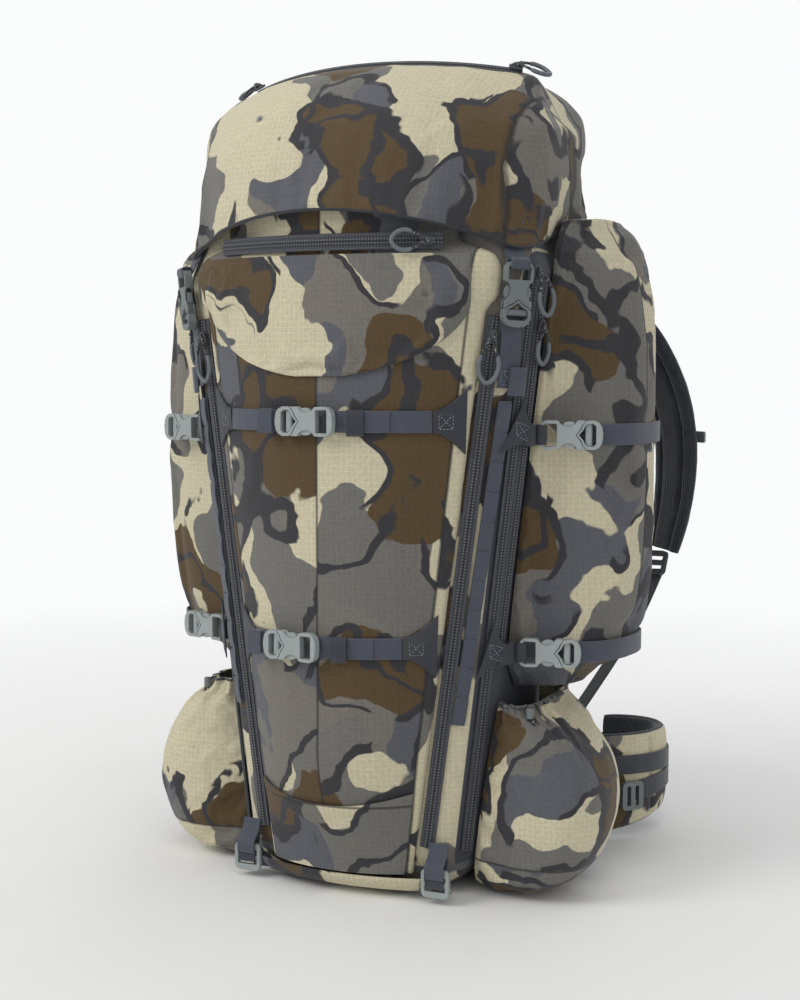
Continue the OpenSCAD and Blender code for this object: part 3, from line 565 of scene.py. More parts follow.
def cord_paint(name):
    """Braided black cord with pale flecks; its strands are painted lighter on their crowns and darker between
    them, as painted light and shade.
    """
    p = Paint(name, rough=0.7, sheen=0.3)
    u, v, _ = p.xyz(p.uv)
    braid = p.wave(p.add(p.mul(v, 420.0), p.mul(u, 2.0)), 1.0)
    fleck = p.mul(p.step(p.noise(p.object, 520.0, 1.0), 0.6, 0.03), 0.7)
    # Painted light and shade: the braid's crowns lighter, the grooves between strands darker
    c = p.blend(braid, srgb(22, 23, 27), srgb(52, 54, 60))
    return p.finish(p.blend(fleck, c, srgb(170, 175, 180)), braid, 0.6, 0.0006)


def carbon_paint(name):
    """Carbon fibre: a chequered twill under a gloss coat."""
    p = Paint(name, rough=0.3, coat=0.4)
    x, _, z = p.xyz(p.object)
    a = p.over(p.wave(p.add(x, z), 0.004), 0.002)
    b = p.over(p.wave(p.sub(x, z), 0.004), 0.002)
    w = p.absolute(p.sub(a, b))
    fine = p.noise(p.object, 900.0, 2.0)
    c = p.blend(w, srgb(24, 24, 27), srgb(48, 49, 54))
    return p.finish(p.blend(p.mul(fine, 0.2), c, srgb(80, 80, 84)), w, 0.15, 0.0003)


webbing = webbing_paint("webbing", srgb(62, 67, 80))
webbing_dark = webbing_paint("webbing_dark", srgb(40, 44, 54))
laminate = cloth_paint("laminate", srgb(64, 68, 76), rough=0.7, speck=0.15)
lining = cloth_paint("lining", srgb(96, 99, 102))
hypalon = cloth_paint("hypalon", srgb(45, 49, 58), rough=0.62, speck=0.12)
binding = cloth_paint("binding", srgb(46, 47, 52), speck=0.3)
thread = cloth_paint("thread", srgb(150, 154, 160))
pad_mesh = mesh_paint("pad_mesh", srgb(44, 49, 60))
plastic = plastic_paint("plastic", srgb(158, 166, 165))
plastic_mid = plastic_paint("plastic_mid", srgb(112, 119, 121))
grip = plastic_paint("grip", srgb(104, 111, 117), 0.5)
metal_dark = plastic_paint("slider_metal", srgb(70, 74, 80), 0.35)
cord = cord_paint("cord")
carbon = carbon_paint("carbon")
zip_paints = {half: zip_paint("zip_%g" % half, half) for half in (7.0, 6.0, 7.5)}


# ---- stuffed fabric ----
CLOTH_FRAMES = 20
# Each stuffed piece with its rest points, its cap and its keep
stuffed = []


def points_of(me, kind="co"):
    a = np.zeros(len(me.vertices) * 3)
    me.vertices.foreach_get(kind, a)
    return a.reshape(-1, 3)


def co_of(o):
    return points_of(o.data)


def set_co(o, co):
    o.data.vertices.foreach_set("co", np.asarray(co, np.float32).ravel())
    o.data.update()


def stuff(o, pinned, pressure=4.0, cap=0.005, slack=0.03, keep=None):
    """Marks a piece for the cloth simulation. A point moves no further than about cap, in metres. pinned
    and keep, the share of the movement that stays, are functions of the rest points, in design mm."""
    stuffed.append((o, co_of(o), cap, keep))
    group = o.vertex_groups.new(name="pin")
    for i in np.flatnonzero(pinned(design(co_of(o)))):
        group.add([int(i)], 1.0, "REPLACE")
    m = o.modifiers.new("cloth", "CLOTH")
    s = m.settings
    s.quality = 5
    s.mass = 0.25
    s.tension_stiffness = s.compression_stiffness = 22
    s.shear_stiffness = 12
    s.bending_stiffness = 0.35
    s.use_pressure = True
    s.uniform_pressure_force = pressure
    s.shrink_min = -slack
    s.effector_weights.gravity = 0
    s.vertex_group_mass = "pin"
    m.point_cache.frame_start, m.point_cache.frame_end = 1, CLOTH_FRAMES


def simulate():
    """Runs the cloth of all marked pieces, and leaves plain meshes."""
    scene = bpy.context.scene
    scene.frame_start, scene.frame_end = 1, CLOTH_FRAMES
    for f in range(CLOTH_FRAMES):
        scene.frame_set(f + 1)
    dg = bpy.context.evaluated_depsgraph_get()
    moved = [points_of(o.evaluated_get(dg).data) - rest for o, rest, _, _ in stuffed]
    for (o, rest, cap, keep), d in zip(stuffed, moved):
        o.modifiers.clear()
        o.vertex_groups.clear()
        size = np.linalg.norm(d, axis=1, keepdims=True)
        d = d * (cap * np.tanh(size / cap) / np.maximum(size, 1e-9))
        if keep is not None:
            d = d * keep(design(rest))[:, None]
        set_co(o, rest + d)
    scene.frame_set(1)


def push(o, amount):
    """Moves a fabric piece's points along its normals by amount(p) millimetres, p in design mm."""
    co = co_of(o)
    o.data.update()
    set_co(o, co + points_of(o.data, "normal") * (amount(design(co))[:, None] / 1000))


def subdivide(o):
    m = o.modifiers.new("smooth", "SUBSURF")
    m.levels = m.render_levels = 1


def by_straps(p, heights, spread, power=2):
    """1 under straps at these heights, falling to 0 away from them."""
    return sum(np.exp(-(((p[:, 2] - z) / spread) ** power)) for z in heights)


def near_straps(heights, spread=16.0):
    return lambda p: 1 - np.clip(by_straps(p, heights, spread), 0, 0.92)


def edged(x, y, z, edge):
    """A row of points whose two end points have copies at depth edge, where the piece is sewn down."""
    p = np.stack([x, y, np.broadcast_to(z, x.shape)], -1)
    return np.concatenate([[[x[0], edge, p[0, 2]]], p, [[x[-1], edge, p[-1, 2]]]])


def make_front_panel():
    rings = []
    for h in np.concatenate([[24], np.linspace(24, 600, 128), np.linspace(604, 656, 14)]):
        half = panel_half(h)
        x = np.linspace(-half, half, 84)
        y = panel_y(x, h) - 1 if rings else bag_front(x, h) - 0.6
        rings.append(edged(x, y, h, bag_front(half, h) - 0.4))
    o = shell("front_panel_cloth", rings)
    gusset = unit([1.0, 0, -TAPER])
    paint = camo("camo_front", cuts=(
        ((1, 0, 0), 0.5, (0.37, 0.0, 0.61)),
        (gusset, 66.0, (0.0, 0.4, 0.27)),
        (gusset * [-1, 1, 1], 66.0, (0.21, 0.0, -0.4))), shift=(0.4, 1.1, 0.35))
    finish_piece(o, "pack", paint, ["front_panel"])

    def pinned(p):
        return (np.abs(p[:, 0]) > panel_half(p[:, 2]) - 5) | (p[:, 2] < 30) | (p[:, 2] > 640)

    def keep(p):
        return near_straps(STRAPS)(p) * (1 - 0.8 * ease((p[:, 2] - 480) / 20)) * ease((p[:, 2] - 90) / 30)

    stuff(o, pinned, 3.0, 0.0045, 0.035, keep)
    return o


# The front pocket's lowest point and its zip
POCKET_LOW, POCKET_HIGH = 491, 600


def pocket_half(z):
    """Half the front pocket's width, which is bowl-shaped below."""
    bowl = 136 * np.sqrt(np.maximum(0.02, 1 - np.clip((566 - z) / 76, 0, 1) ** 2))
    return np.minimum(bowl, panel_half(z) - 1)


def make_front_pocket():
    tall = POCKET_HIGH - POCKET_LOW
    rings = []
    for h in np.concatenate([[POCKET_LOW - 0.5], POCKET_LOW + tall * np.linspace(0, 1, 56) ** 1.35]):
        half = float(pocket_half(max(h, POCKET_LOW)))
        x = np.linspace(-half, half, 90)
        rise = 8 * ease((h - 485) / 50) * (1 - 0.8 * ease((h - 578) / 22))
        rise = np.sqrt(np.maximum(0, 1 - (x / (half + 4)) ** 2)) * rise
        y = panel_y(x, h) - (4 if rings else 2) - rise
        rings.append(edged(x, y, h, panel_y(half, h) - 1))
    o = shell("front_pocket_cloth", rings)
    finish_piece(o, "pack", camo("camo_pocket", shift=(2.3, 0.6, 1.4)), ["front_pocket"])

    def pinned(p):
        side = np.abs(p[:, 0]) > pocket_half(np.maximum(p[:, 2], POCKET_LOW)) - 3
        return (p[:, 2] > POCKET_HIGH - 6) | (p[:, 2] < POCKET_LOW + 3) | side

    stuff(o, pinned, 3.5, 0.003, 0.04)
    return o


def make_front_cuff():
    low, high = 25, 104
    rings = []
    for h in np.linspace(low, high, 30):
        half = panel_half(h) - 5
        x = np.linspace(-half, half, 70)
        z = h - 12 * (h - low) / (high - low) * (1 - (x / half) ** 2)
        y = panel_y(x, z) - 4.4 - 0.8 * np.exp(-(((h - 98) / 5) ** 2))
        rings.append(edged(x, y, z, panel_y(half, h) - 1.5))
    rings.append(rings[-1] + [0, 2.6, 0])
    o = shell("front_cuff_cloth", rings)
    paint = camo("camo_cuff", cuts=(((0, 0, 1), 92.0, (0, 0, 0)),), shift=(0.1, 2.6, 0.9))
    finish_piece(o, "pack", paint, ["front_cuff"])


def make_bottom_panel():
    rings = []
    for h in np.linspace(3, 22.5, 12):
        half = 76 + 0.4 * h
        x = np.linspace(-half, half, 60)
        y = base_front(h) - 3 - 28 * (1 - (x / 112) ** 2) * ease((h + 12) / 24)
        rings.append(edged(x, y, h, base_front(h) - 1))
    low = rings[0].copy()
    low[:, 1] = FRONT + 32
    o = shell("bottom_panel_cloth", [low] + rings)
    finish_piece(o, "pack", camo("camo_bottom", shift=(5.1, 0.2, 0.7)), ["bottom_panel"])


# The side pouch's outline from above: the share of its width, and its depth. Its middle height, half its
# height, and its outer face
POUCH = np.array([(0, -147), (0.16, -146), (0.45, -138), (0.76, -123), (0.93, -100), (1, -70), (1, -38),
                  (0.88, -12), (0.5, -3), (0, -2)], float)
POUCH_MID, POUCH_TALL, POUCH_OUT = 414, 226, 256


def root_x(z):
    """Where the pouches and pockets are sewn to the bag's side."""
    return BASE_HALF + TAPER * np.minimum(z, TAPER_TOP) + 2.2


def on_pouch(p, z, end=0.0):
    """Design points of outline points at height z; end rounds the pouch's top and bottom."""
    f = np.maximum(0, 1 - np.abs((z - POUCH_MID) / POUCH_TALL) ** 3.4) ** 0.5
    x = root_x(z) + (POUCH_OUT - root_x(z)) * p[..., 0] * mix(0.34, 1, f) * (1 - end / 2)
    y = mix(-72, p[..., 1], mix(0.72, 1, f) * (1 - end))
    return np.stack([x, y, np.full_like(x, z)], -1)


def pouch_ring(z):
    # The ends are rounder in cloth than in the CAD solid
    return on_pouch(spline(POUCH, 64), z, 0.3 * ease((224 - z) / 32) + 0.22 * ease((z - 600) / 36))


def make_side_pouch(side, name):
    t = np.linspace(0, 1, 110)
    z = 192 + 444 * mix(t, 0.5 - 0.5 * np.cos(t * math.pi), 0.35)
    rings = [mirrored(pouch_ring(h), side) for h in z]
    o = shell("side_pouch_" + name + "_cloth", rings, cap_low=True, cap_high=True)
    if side < 0:
        o.data.flip_normals()
    cuts = (((0, 1, 0), -52.0, (0.5, 0.13, 0.3)),)
    paint = camo("camo_pouch_" + name, cuts, shift=(1.7 + side, 0.9, 0.15))
    finish_piece(o, "pack", paint, ["side_pouch_" + name])
    stuff(o, lambda p: np.abs(p[:, 0]) < root_x(p[:, 2]) + 5, 4.5, 0.006, 0.05, near_straps(SIDE_STRAPS, 14))
    return o


# The lower pocket at each height: its width, and the depths of its front and back
POCKET = [(2, 40, -150, -34), (10, 66, -166, -26), (30, 94, -176, -20), (70, 106, -178, -17),
          (110, 98, -176, -17), (150, 70, -170, -20), (172, 46, -164, -26), (184, 36, -160, -30)]
# Its outline from above, as shares of that width and depth
POCKET_PLAN = [(0, 0.08), (0.35, 0), (0.74, 0.02), (0.97, 0.14), (1.02, 0.38), (0.96, 0.68), (0.8, 0.9),
               (0.4, 1), (0, 0.95)]
POCKET_ROWS, POCKET_COLS = 58, 88


def pocket_ring(r, t=0.0):
    """The lower pocket's outline for a row of POCKET, inset by t."""
    root = root_x(r[0]) + t
    p = spline(POCKET_PLAN, POCKET_COLS)
    x = root + min(r[1] - 2 * t, 240 - root - t) * p[:, 0]
    return np.stack([x, mix(r[2] + t, r[3] - t, p[:, 1]), np.full_like(x, r[0])], -1)


def make_lower_pocket(side, name):
    rows = spline(POCKET, POCKET_ROWS)
    u = np.linspace(0, 1, POCKET_COLS)
    pleats = 4.6 * np.sin(u * 2 * math.pi * 11 + 1.5 * np.sin(u * 17)) * np.sin(u * math.pi) ** 0.4
    rings = []
    for r in rows:
        ring = pocket_ring(r)
        gather = ease((r[0] - 128) / 50)
        rings.append(ring + unit(ring - ring.mean(0)) * (pleats * gather)[:, None])
    inner = [pocket_ring(r, 2.4) for r in rows[::-1][:40]]
    o = shell("lower_pocket_" + name + "_cloth", [mirrored(r, side) for r in rings + inner], cap_low=True)
    if side < 0:
        o.data.flip_normals()
    rim = rings[-3] + unit(rings[-3] - rings[-3].mean(0)) * [0.9, 0.9, 0]
    draw = [tube("c", mirrored(rim[3:-3], side), 1.1, 8)]
    tie = rim[26] + [0, 0, -1]
    for tail in np.array([[6, -5, -9], [1, -6, -14]]):
        line = spline([tie, tie + [3, -5, -1], tie + tail, tie + tail * [1.2, 1.05, 1.6]], 14)
        draw.append(tube("c", mirrored(line, side), 1.3, 8))
    finish_piece(join("lower_pocket_" + name + "_drawcord", draw), "pack", cord)
    lock = tie + [3.4, -5.6, 2.0] + np.outer([0, 1, 9, 10], -ZUP)
    body = tube("lower_pocket_" + name + "_cord_lock", mirrored(lock, side), [2.6, 3.6, 3.6, 2.6], 12)
    finish_piece(body, "pack", plastic_mid)
    cuts = (((0, 0, -1), -34.0, (0.3, 0.2, 0.5)),)
    paint = camo("camo_low_" + name, cuts, shift=(3.7 + side, 2.2, 0.5))
    finish_piece(o, "pack", paint, ["lower_pocket_" + name])
    inside = np.arange(len(o.data.vertices)) >= POCKET_ROWS * POCKET_COLS

    def pinned(p):
        return inside | (np.abs(p[:, 0]) < root_x(p[:, 2]) + 4) | (p[:, 2] > 176) | (p[:, 2] < 4)

    stuff(o, pinned, 4.0, 0.006, 0.06)
    return o


# The lid's rings: share of its height, shares of its width and front depth, and how far its back comes in
LID_RINGS = [(0, 1, 1, 0), (0.2, 1, 0.98, 0), (0.46, 0.995, 0.935, 0), (0.7, 0.975, 0.84, 4),
             (0.85, 0.93, 0.71, 10), (0.95, 0.84, 0.55, 20), (0.987, 0.72, 0.41, 34), (1, 0.5, 0.27, 50),
             (1, 0.24, 0.15, 72), (1, 0.04, 0.07, 84)]
LID_HALF, LID_TOP, LID_CORNER = 178.0, 790.0, 48.0


def lid_hem(x, y):
    """The height of the lid's edge: it rises to the back, and arches over the front pocket's zip."""
    arch = 35 * np.maximum(0, 1 - (x / 175) ** 2) * ease((-180 - y) / 25)
    return 603 + 38.6 * ease((y + 205) / 190) + arch


def lid_front(x):
    return FRONT - 8 - 56 * np.maximum(0, 1 - (np.abs(x) / 150) ** 2.2)


def lid_outline(s, f, b, t=0.0):
    """The lid from above, with width share s, front share f, back in by b, and inset t."""
    h, r = LID_HALF * s - t, (LID_CORNER - t) * s
    x = np.linspace(-112, 112, 40)
    parts = [np.stack([x * s, lid_front(x) * f + t], -1)]
    a = np.radians(np.linspace(-80, 0, 14)[1:])
    right = np.stack([h - r + r * np.cos(a), (-160 + LID_CORNER * np.sin(a)) * f - t * np.sin(a)], -1)
    parts.append(right)
    a = np.radians(np.linspace(0, 90, 9))
    y0, y1 = right[-1][1], -26 - b - t
    parts.append(np.stack([np.full(16, h), np.linspace(y0, y1, 18)[1:-1]], -1))
    parts.append(np.stack([h - 26 + 26 * np.cos(a), y1 + 26 * np.sin(a)], -1))
    parts.append(np.stack([np.linspace(h - 26, 26 - h, 26)[1:-1], np.full(24, -b - t)], -1))
    return np.concatenate(parts + [np.concatenate(parts[1:4])[::-1] * [-1, 1]])


def make_lid():
    share = np.concatenate([np.linspace(0, 0.95, 44), [0.965, 0.978, 0.987], np.full(5, 1.0)])
    keys = np.array(LID_RINGS)
    rings = []
    u = np.concatenate([np.interp(share[:-5], keys[:8, 0], np.arange(8)), np.linspace(7, 9, 5)])
    dense = spline(keys, 901)
    for v in u:
        r = dense[int(round(v * 100))]
        o = lid_outline(*r[1:])
        low = lid_hem(o[:, 0] / r[1], o[:, 1] / r[2])
        high = LID_TOP - 14 * (o[:, 0] / LID_HALF) ** 2 - 8 * ((o[:, 1] + 90) / 160) ** 2
        rings.append(np.column_stack([o, mix(low, high, min(r[0], 1.0))]))
    under = []
    for s, f, t in ((1, 1.0, 3.0), (0.9, 0.985, 7.0), (0.5, 0.93, 12.0), (0, 0.85, 14.0)):
        o = lid_outline(1, f, 0, t)
        under.append(np.column_stack([o, mix(692, lid_hem(o[:, 0], o[:, 1] / f), s)]))
    o = shell("lid_cloth", rings, closed=True, cap_high=True)
    inside = shell("lid_lining", [rings[0]] + under, closed=True, cap_high=True)
    inside.data.flip_normals()
    finish_piece(inside, "lid", lining)
    paint = camo("camo_lid", cuts=(
        (unit([1, -0.25, 0.1]), 254.0, (0.31, 0.5, 0.2)),
        (unit([-1, -0.25, 0.1]), 254.0, (0.11, 0.7, 0.4)),
        ((0, 1, 0), -60.0, (0.6, 0.1, 0.3))), shift=(0.75, 3.3, 2.05))
    finish_piece(o, "lid", paint, ["lid"])
    hem = np.arange(len(o.data.vertices)) < len(rings[0])
    stuff(o, lambda p: hem, 4.5, 0.006, 0.045, lambda p: ease((p[:, 2] - 600) / 40) * 0.75 + 0.25)
    edge = tube("lid_hem_binding", np.append(rings[0], rings[0][:1], 0) + [0, 0, 1.2], 1.5, 8, cap=False)
    finish_piece(edge, "lid", binding)
    return o


def make_collar():
    rings, n = [], 160
    a = np.linspace(0, 2 * math.pi, n, endpoint=False)
    for h in np.linspace(0, 1, 26):
        g = 26 * ease(h)
        y0, y1 = FRONT + g + 3.8, -6.5 - g / 2
        x, y = squared(a, 0.42)
        x, y = (half_width(640) - 3.8 - g) * x, (y1 - y0) / 2 * y
        wave = 1 + 0.006 * np.sin(a * 38 + 2 * np.sin(a * 5)) * ease(h * 1.4)
        rings.append(np.stack([x * wave, (y0 + y1) / 2 + y * wave, np.full(n, 640.8 + 40.6 * h)], -1))
    inner = [r + (r.mean(0) - r) * [0.016, 0.016, 0] for r in rings[::-1]]
    o = shell("collar_cloth", rings + inner, closed=True)
    finish_piece(o, "pack", lining, ["collar"])
    draw = tube("collar_drawcord", np.append(rings[-3], rings[-3][:1], 0), 1.6, 6, cap=False)
    finish_piece(draw, "pack", cord)


# ---- copies of CAD nodes with worked edges ----
def copy_node(node):
    """A copy of a CAD node's mesh, with its triangles joined to quads."""
    o = linked(node + "_made", frame["nodes"][node].data.copy())
    bpy.ops.object.select_all(action="DESELECT")
    o.select_set(True)
    bpy.context.view_layer.objects.active = o
    bpy.ops.object.mode_set(mode="EDIT")
    bpy.ops.mesh.select_all(action="SELECT")
    bpy.ops.mesh.remove_doubles(threshold=0.00002)
    bpy.ops.mesh.tris_convert_to_quads(face_threshold=0.1, shape_threshold=0.3)
    bpy.ops.object.mode_set(mode="OBJECT")
    return o


def islands(o):
    """A number for each vertex: the loose part it belongs to."""
    parent = list(range(len(o.data.vertices)))

    def root(i):
        while parent[i] != i:
            parent[i] = parent[parent[i]]
            i = parent[i]
        return i

    for e in o.data.edges:
        a, b = root(e.vertices[0]), root(e.vertices[1])
        if a != b:
            parent[a] = b
    return np.array([root(i) for i in range(len(parent))])


def strip_uv(o):
    """UV from each loose part's own long axis and width, in metres."""
    group = islands(o)
    co = co_of(o)
    uv = np.zeros((len(co), 2))
    for g in np.unique(group):
        k = group == g
        c = co[k] - co[k].mean(0)
        _, _, axes = np.linalg.svd(c, full_matrices=False)
        uv[k] = np.stack([c @ axes[1], c @ axes[0]], -1)
    me = o.data
    while me.uv_layers:
        me.uv_layers.remove(me.uv_layers[0])
    set_uv(me, uv)
    return group


def hard(node, material, bevel=0.5, other=None, long=None):
    """A CAD node with rounded edges. other is the webbing's material: the loose parts that are not about as
    detailed as the most detailed one, or those at least long mm across."""
    o = copy_node(node)
    group = strip_uv(o)
    o.data.materials.clear()
    o.data.materials.append(material)
    if other is not None:
        o.data.materials.append(other)
        names, counts = np.unique(group, return_counts=True)
        big = names[counts >= counts.max() * 0.8]
        if long:
            co = co_of(o) * 1000
            big = [g for g in names if np.linalg.norm(np.ptp(co[group == g], axis=0)) < long]
        for f in o.data.polygons:
            f.material_index = 0 if group[f.vertices[0]] in big else 1
    m = o.modifiers.new("edges", "BEVEL")
    m.width = bevel / 1000
    m.segments = 3
    m.limit_method = "ANGLE"
    m.angle_limit = 0.6
    o.data.shade_smooth()
    o.data.set_sharp_from_angle(angle=0.6)
    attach(o, frame["nodes"][node]["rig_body"])
    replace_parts(o, node)


# ---- pieces laid on the bag ----
def local(o, x, z):
    """Maps local points (x along, z outwards) to design points."""
    xx = unit(x)
    zz = unit(np.asarray(z, float) - xx * (np.asarray(z, float) @ xx))
    yy = np.cross(zz, xx)
    return lambda p: np.asarray(o, float) + np.asarray(p, float) @ np.stack([xx, yy, zz])


def sided_frame(at, side):
    """The mapping at, mirrored to the given side."""
    return lambda p: mirrored(at(p), side)


def settle(path, out, cloth, lift=0.8):
    """Moves points along out onto a made cloth."""
    tree = BVHTree.FromObject(cloth, bpy.context.evaluated_depsgraph_get())
    shift = []
    for p, o in zip(path, out):
        hit = tree.ray_cast(Vector(row(p + o * 30)), Vector(-o))[0]
        shift.append(0.0 if hit is None else float((np.array(hit) - row(p)) @ o) * 1000 + lift)
    wide = np.pad(shift, 4, mode="edge")
    shift = np.convolve(wide, np.ones(9) / 9, mode="valid")
    return path + out * shift[:, None]


def meet(cloth, line, out, shift):
    """Moves a cloth along out by shift where it passes under a line, fading out to the sides."""
    co = co_of(cloth)
    d = np.linalg.norm(design(co)[:, None] - line[None], axis=2)
    k = d.argmin(1)
    share = ease((42 - d.min(1)) / 32)
    set_co(cloth, co + out[k] * (shift[k] * share)[:, None] / 1000)


def zip_strip(name, path, out, half, body):
    """Tape with a raised coil."""
    w = 2.0 * half
    profile = [(-0.5, -0.5), (-0.5, 0.5), (-2.9 / w, 0.7), (-2.3 / w, 2.0), (-0.9 / w, 2.5), (0, 2.2)]
    profile += [(-x, z) for x, z in profile[-2::-1]]
    return finish_piece(ribbon(name, path, out, w, profile=profile), body, zip_paints[half])


def make_pull(name, frame_of, w, l, lean, rise, droop=0):
    """A slider with a braided cord that holds a moulded bow, w by l, turned by lean degrees and rise above
    the tape; droop is how far its end hangs down. Its name is also its body's and its CAD node's."""
    c, s = math.cos(math.radians(lean)), math.sin(math.radians(lean))

    def at(p):
        p = np.asarray(p, float)
        q = p.copy()
        q[..., 0], q[..., 1] = p[..., 0] * c - p[..., 1] * s, p[..., 0] * s + p[..., 1] * c
        q = frame_of(q)
        q[..., 2] -= droop * (np.maximum(0, -p[..., 0]) / l) ** 2
        return q

    h = w / 2
    bow = [[-l * 0.42, h * 0.82, rise], [-l * 0.62, h, rise], [-l * 0.86, h * 0.74, rise], [-l, 0, rise]]
    bow += [[x, -y, z] for x, y, z in bow[-2::-1]]
    r = np.interp(np.linspace(0, 1, 40), [0, 0.06, 0.5, 0.94, 1], [1.5, 2.1, 2.2, 2.1, 1.5])
    finish_piece(tube(name + "_grip", at(spline(bow, 40)), r, 10), name, grip, [name])
    arms = []
    for k in (1, -1):
        line = [[1.5, 0.8 * k, 6.4], [-3, 2.2 * k, 7.2], [-l * 0.25, h * 0.5 * k, rise + 0.4],
                [-l * 0.44, h * 0.84 * k, rise]]
        arms.append(tube("arm", at(spline(line, 18)), 1.35, 8))
    knot = [[-3.5, -2.6, 7.4], [-4.5, 0, 9.0], [-3.5, 2.6, 7.4], [-2.4, 0, 5.8], [-3.5, -2.6, 7.4]]
    arms.append(tube("knot", at(spline(knot, 20)), 1.3, 8))
    finish_piece(join(name + "_cord", arms), name, cord)
    side = np.array([(-6.5, 2.6), (-5.5, 4.2), (-1, 4.4), (4.5, 3.6), (6.4, 2.2)])
    outline = np.concatenate([side, side[::-1] * [1, -1]])
    rings = [frame_of(np.column_stack([outline * [1, k], np.full(10, z)]))
             for z, k in ((2.6, 0.86), (3.2, 1.0), (4.4, 1.0), (5.0, 0.86))]
    block = shell("block", rings, closed=True, cap_low=True, cap_high=True)
    bridge = spline([[-5, 0, 4.8], [-3.5, 0, 6.9], [1, 0, 7.3], [4.4, 0, 4.8]], 14)
    parts = [block, tube("bridge", frame_of(bridge), 1.0, 8)]
    finish_piece(join(name + "_slider", parts), name, metal_dark)


def stitches(path, out, pitch=3.4, length=2.1, lift=0.25):
    """A row of stitches along design points."""
    p = np.asarray(path, float)
    along = travel(p)
    out = unit(np.asarray(out, float))
    verts, faces = [], []
    for k in range(max(1, int(along[-1] / pitch))):
        a = (k + 0.5) * pitch - length / 2
        ends = [a, a + length / 2, a + length]
        pts = np.stack([np.interp(ends, along, p[:, i]) for i in range(3)], -1)
        side = unit(np.cross(unit(pts[2] - pts[0]), out)) * 0.32
        b = len(verts)
        for q, g in zip(pts, (0.3, 1.0, 0.3)):
            c = q + out * lift
            w = side * (0.4 + 0.6 * g)
            verts += [c - w, c + out * 0.35 * g, c + w]
        faces += [(b + r, b + r + 3, b + r + 4, b + r + 1) for r in (0, 1, 3, 4)]
    return new_object("stitch", row(np.array(verts)), faces)


# ---- camera and room, first, because nothing else moves them ----
def make_stage():
    bearing, rise, away = math.radians(25), math.radians(5), 1.6
    cam = bpy.data.cameras.new("camera")
    cam.lens, cam.sensor_fit = 57.6, "VERTICAL"
    cam.sensor_width = cam.sensor_height = 36.0
    cam.shift_x = 0.012
    cam.clip_start = 0.05
    o = linked("camera", cam)
    level = np.array([math.sin(bearing), -math.cos(bearing), 0]) * math.cos(rise)
    o.location = row((0, -100, 366)) + (level + [0, 0, math.sin(rise)]) * away
    o.rotation_euler = (math.radians(90) - rise, 0, bearing)
    bpy.context.scene.camera = o

    # A pale floor that fades out well before its edge, so that it has no horizon
    a = np.linspace(0, 2 * math.pi, 48, endpoint=False)
    rings = [np.stack([r * np.cos(a), r * np.sin(a), np.full(48, -0.4)], -1) for r in (1, 900, 9000)]
    floor = shell("floor", rings, closed=True, cap_low=True)
    p = Paint("floor", rough=0.9)
    pale = p.blend(p.noise(p.object, 6.0, 3.0), srgb(244, 244, 243), srgb(250, 250, 249))
    floor.data.materials.append(p.finish(pale))
    far = p.step(p.vec("LENGTH", p.object), 0.45, 1.3)
    clear = p.node("ShaderNodeBsdfTransparent")
    fade = p.node("ShaderNodeMixShader", {0: far, 1: p.shader.outputs[0], 2: clear.outputs[0]})
    p.tree.links.new(fade.outputs[0], p.tree.nodes["Material Output"].inputs[0])

    a = np.linspace(0, 2 * math.pi, 24, endpoint=False)
    rings = [9000 * np.stack([math.cos(k) * np.cos(a), math.cos(k) * np.sin(a), np.full(24, math.sin(k))], -1)
             for k in np.linspace(-0.5, 0.5, 13)[1:-1] * math.pi]
    dome = shell("backdrop", rings, closed=True, cap_low=True, cap_high=True)
    sky = bpy.data.materials.new("backdrop")
    sky.use_nodes = True
    tree = sky.node_tree
    glow = tree.nodes.new("ShaderNodeEmission")
    glow.inputs[0].default_value = (0.965, 0.97, 0.975, 1)
    tree.links.new(glow.outputs[0], tree.nodes["Material Output"].inputs[0])
    dome.data.materials.append(sky)
    dome.visible_diffuse = dome.visible_glossy = dome.visible_shadow = dome.visible_transmission = False

    def lamp(name, azimuth, height, distance, size, watts, colour=(1, 1, 1)):
        light = bpy.data.lights.new(name, "AREA")
        light.energy, light.shape, light.size, light.size_y = watts, "RECTANGLE", size, size
        light.color = colour
        l = linked(name, light)
        az = math.radians(azimuth)
        l.location = (math.sin(az) * distance, -math.cos(az) * distance, height)
        look = np.array([0, 0, 0.4]) - np.array(l.location)
        pitch = math.atan2(look[2], math.hypot(look[0], look[1]))
        l.rotation_euler = (math.radians(90) + pitch, 0, az)

    lamp("key", -38, 1.9, 2.3, 1.2, 24, (1.0, 0.985, 0.96))
    lamp("fill", 62, 1.2, 2.4, 1.8, 3, (0.96, 0.98, 1.0))
    lamp("back", 180, 2.0, 2.2, 1.6, 10)
    lamp("top", 10, 2.6, 0.6, 1.4, 5)
    world = bpy.data.worlds.new("world")
    world.use_nodes = True
    back = world.node_tree.nodes["Background"]
    back.inputs[0].default_value = (0.95, 0.955, 0.96, 1)
    back.inputs[1].default_value = 0.62
    bpy.context.scene.world = world
    bpy.context.scene.view_settings.view_transform = "Standard"


make_stage()


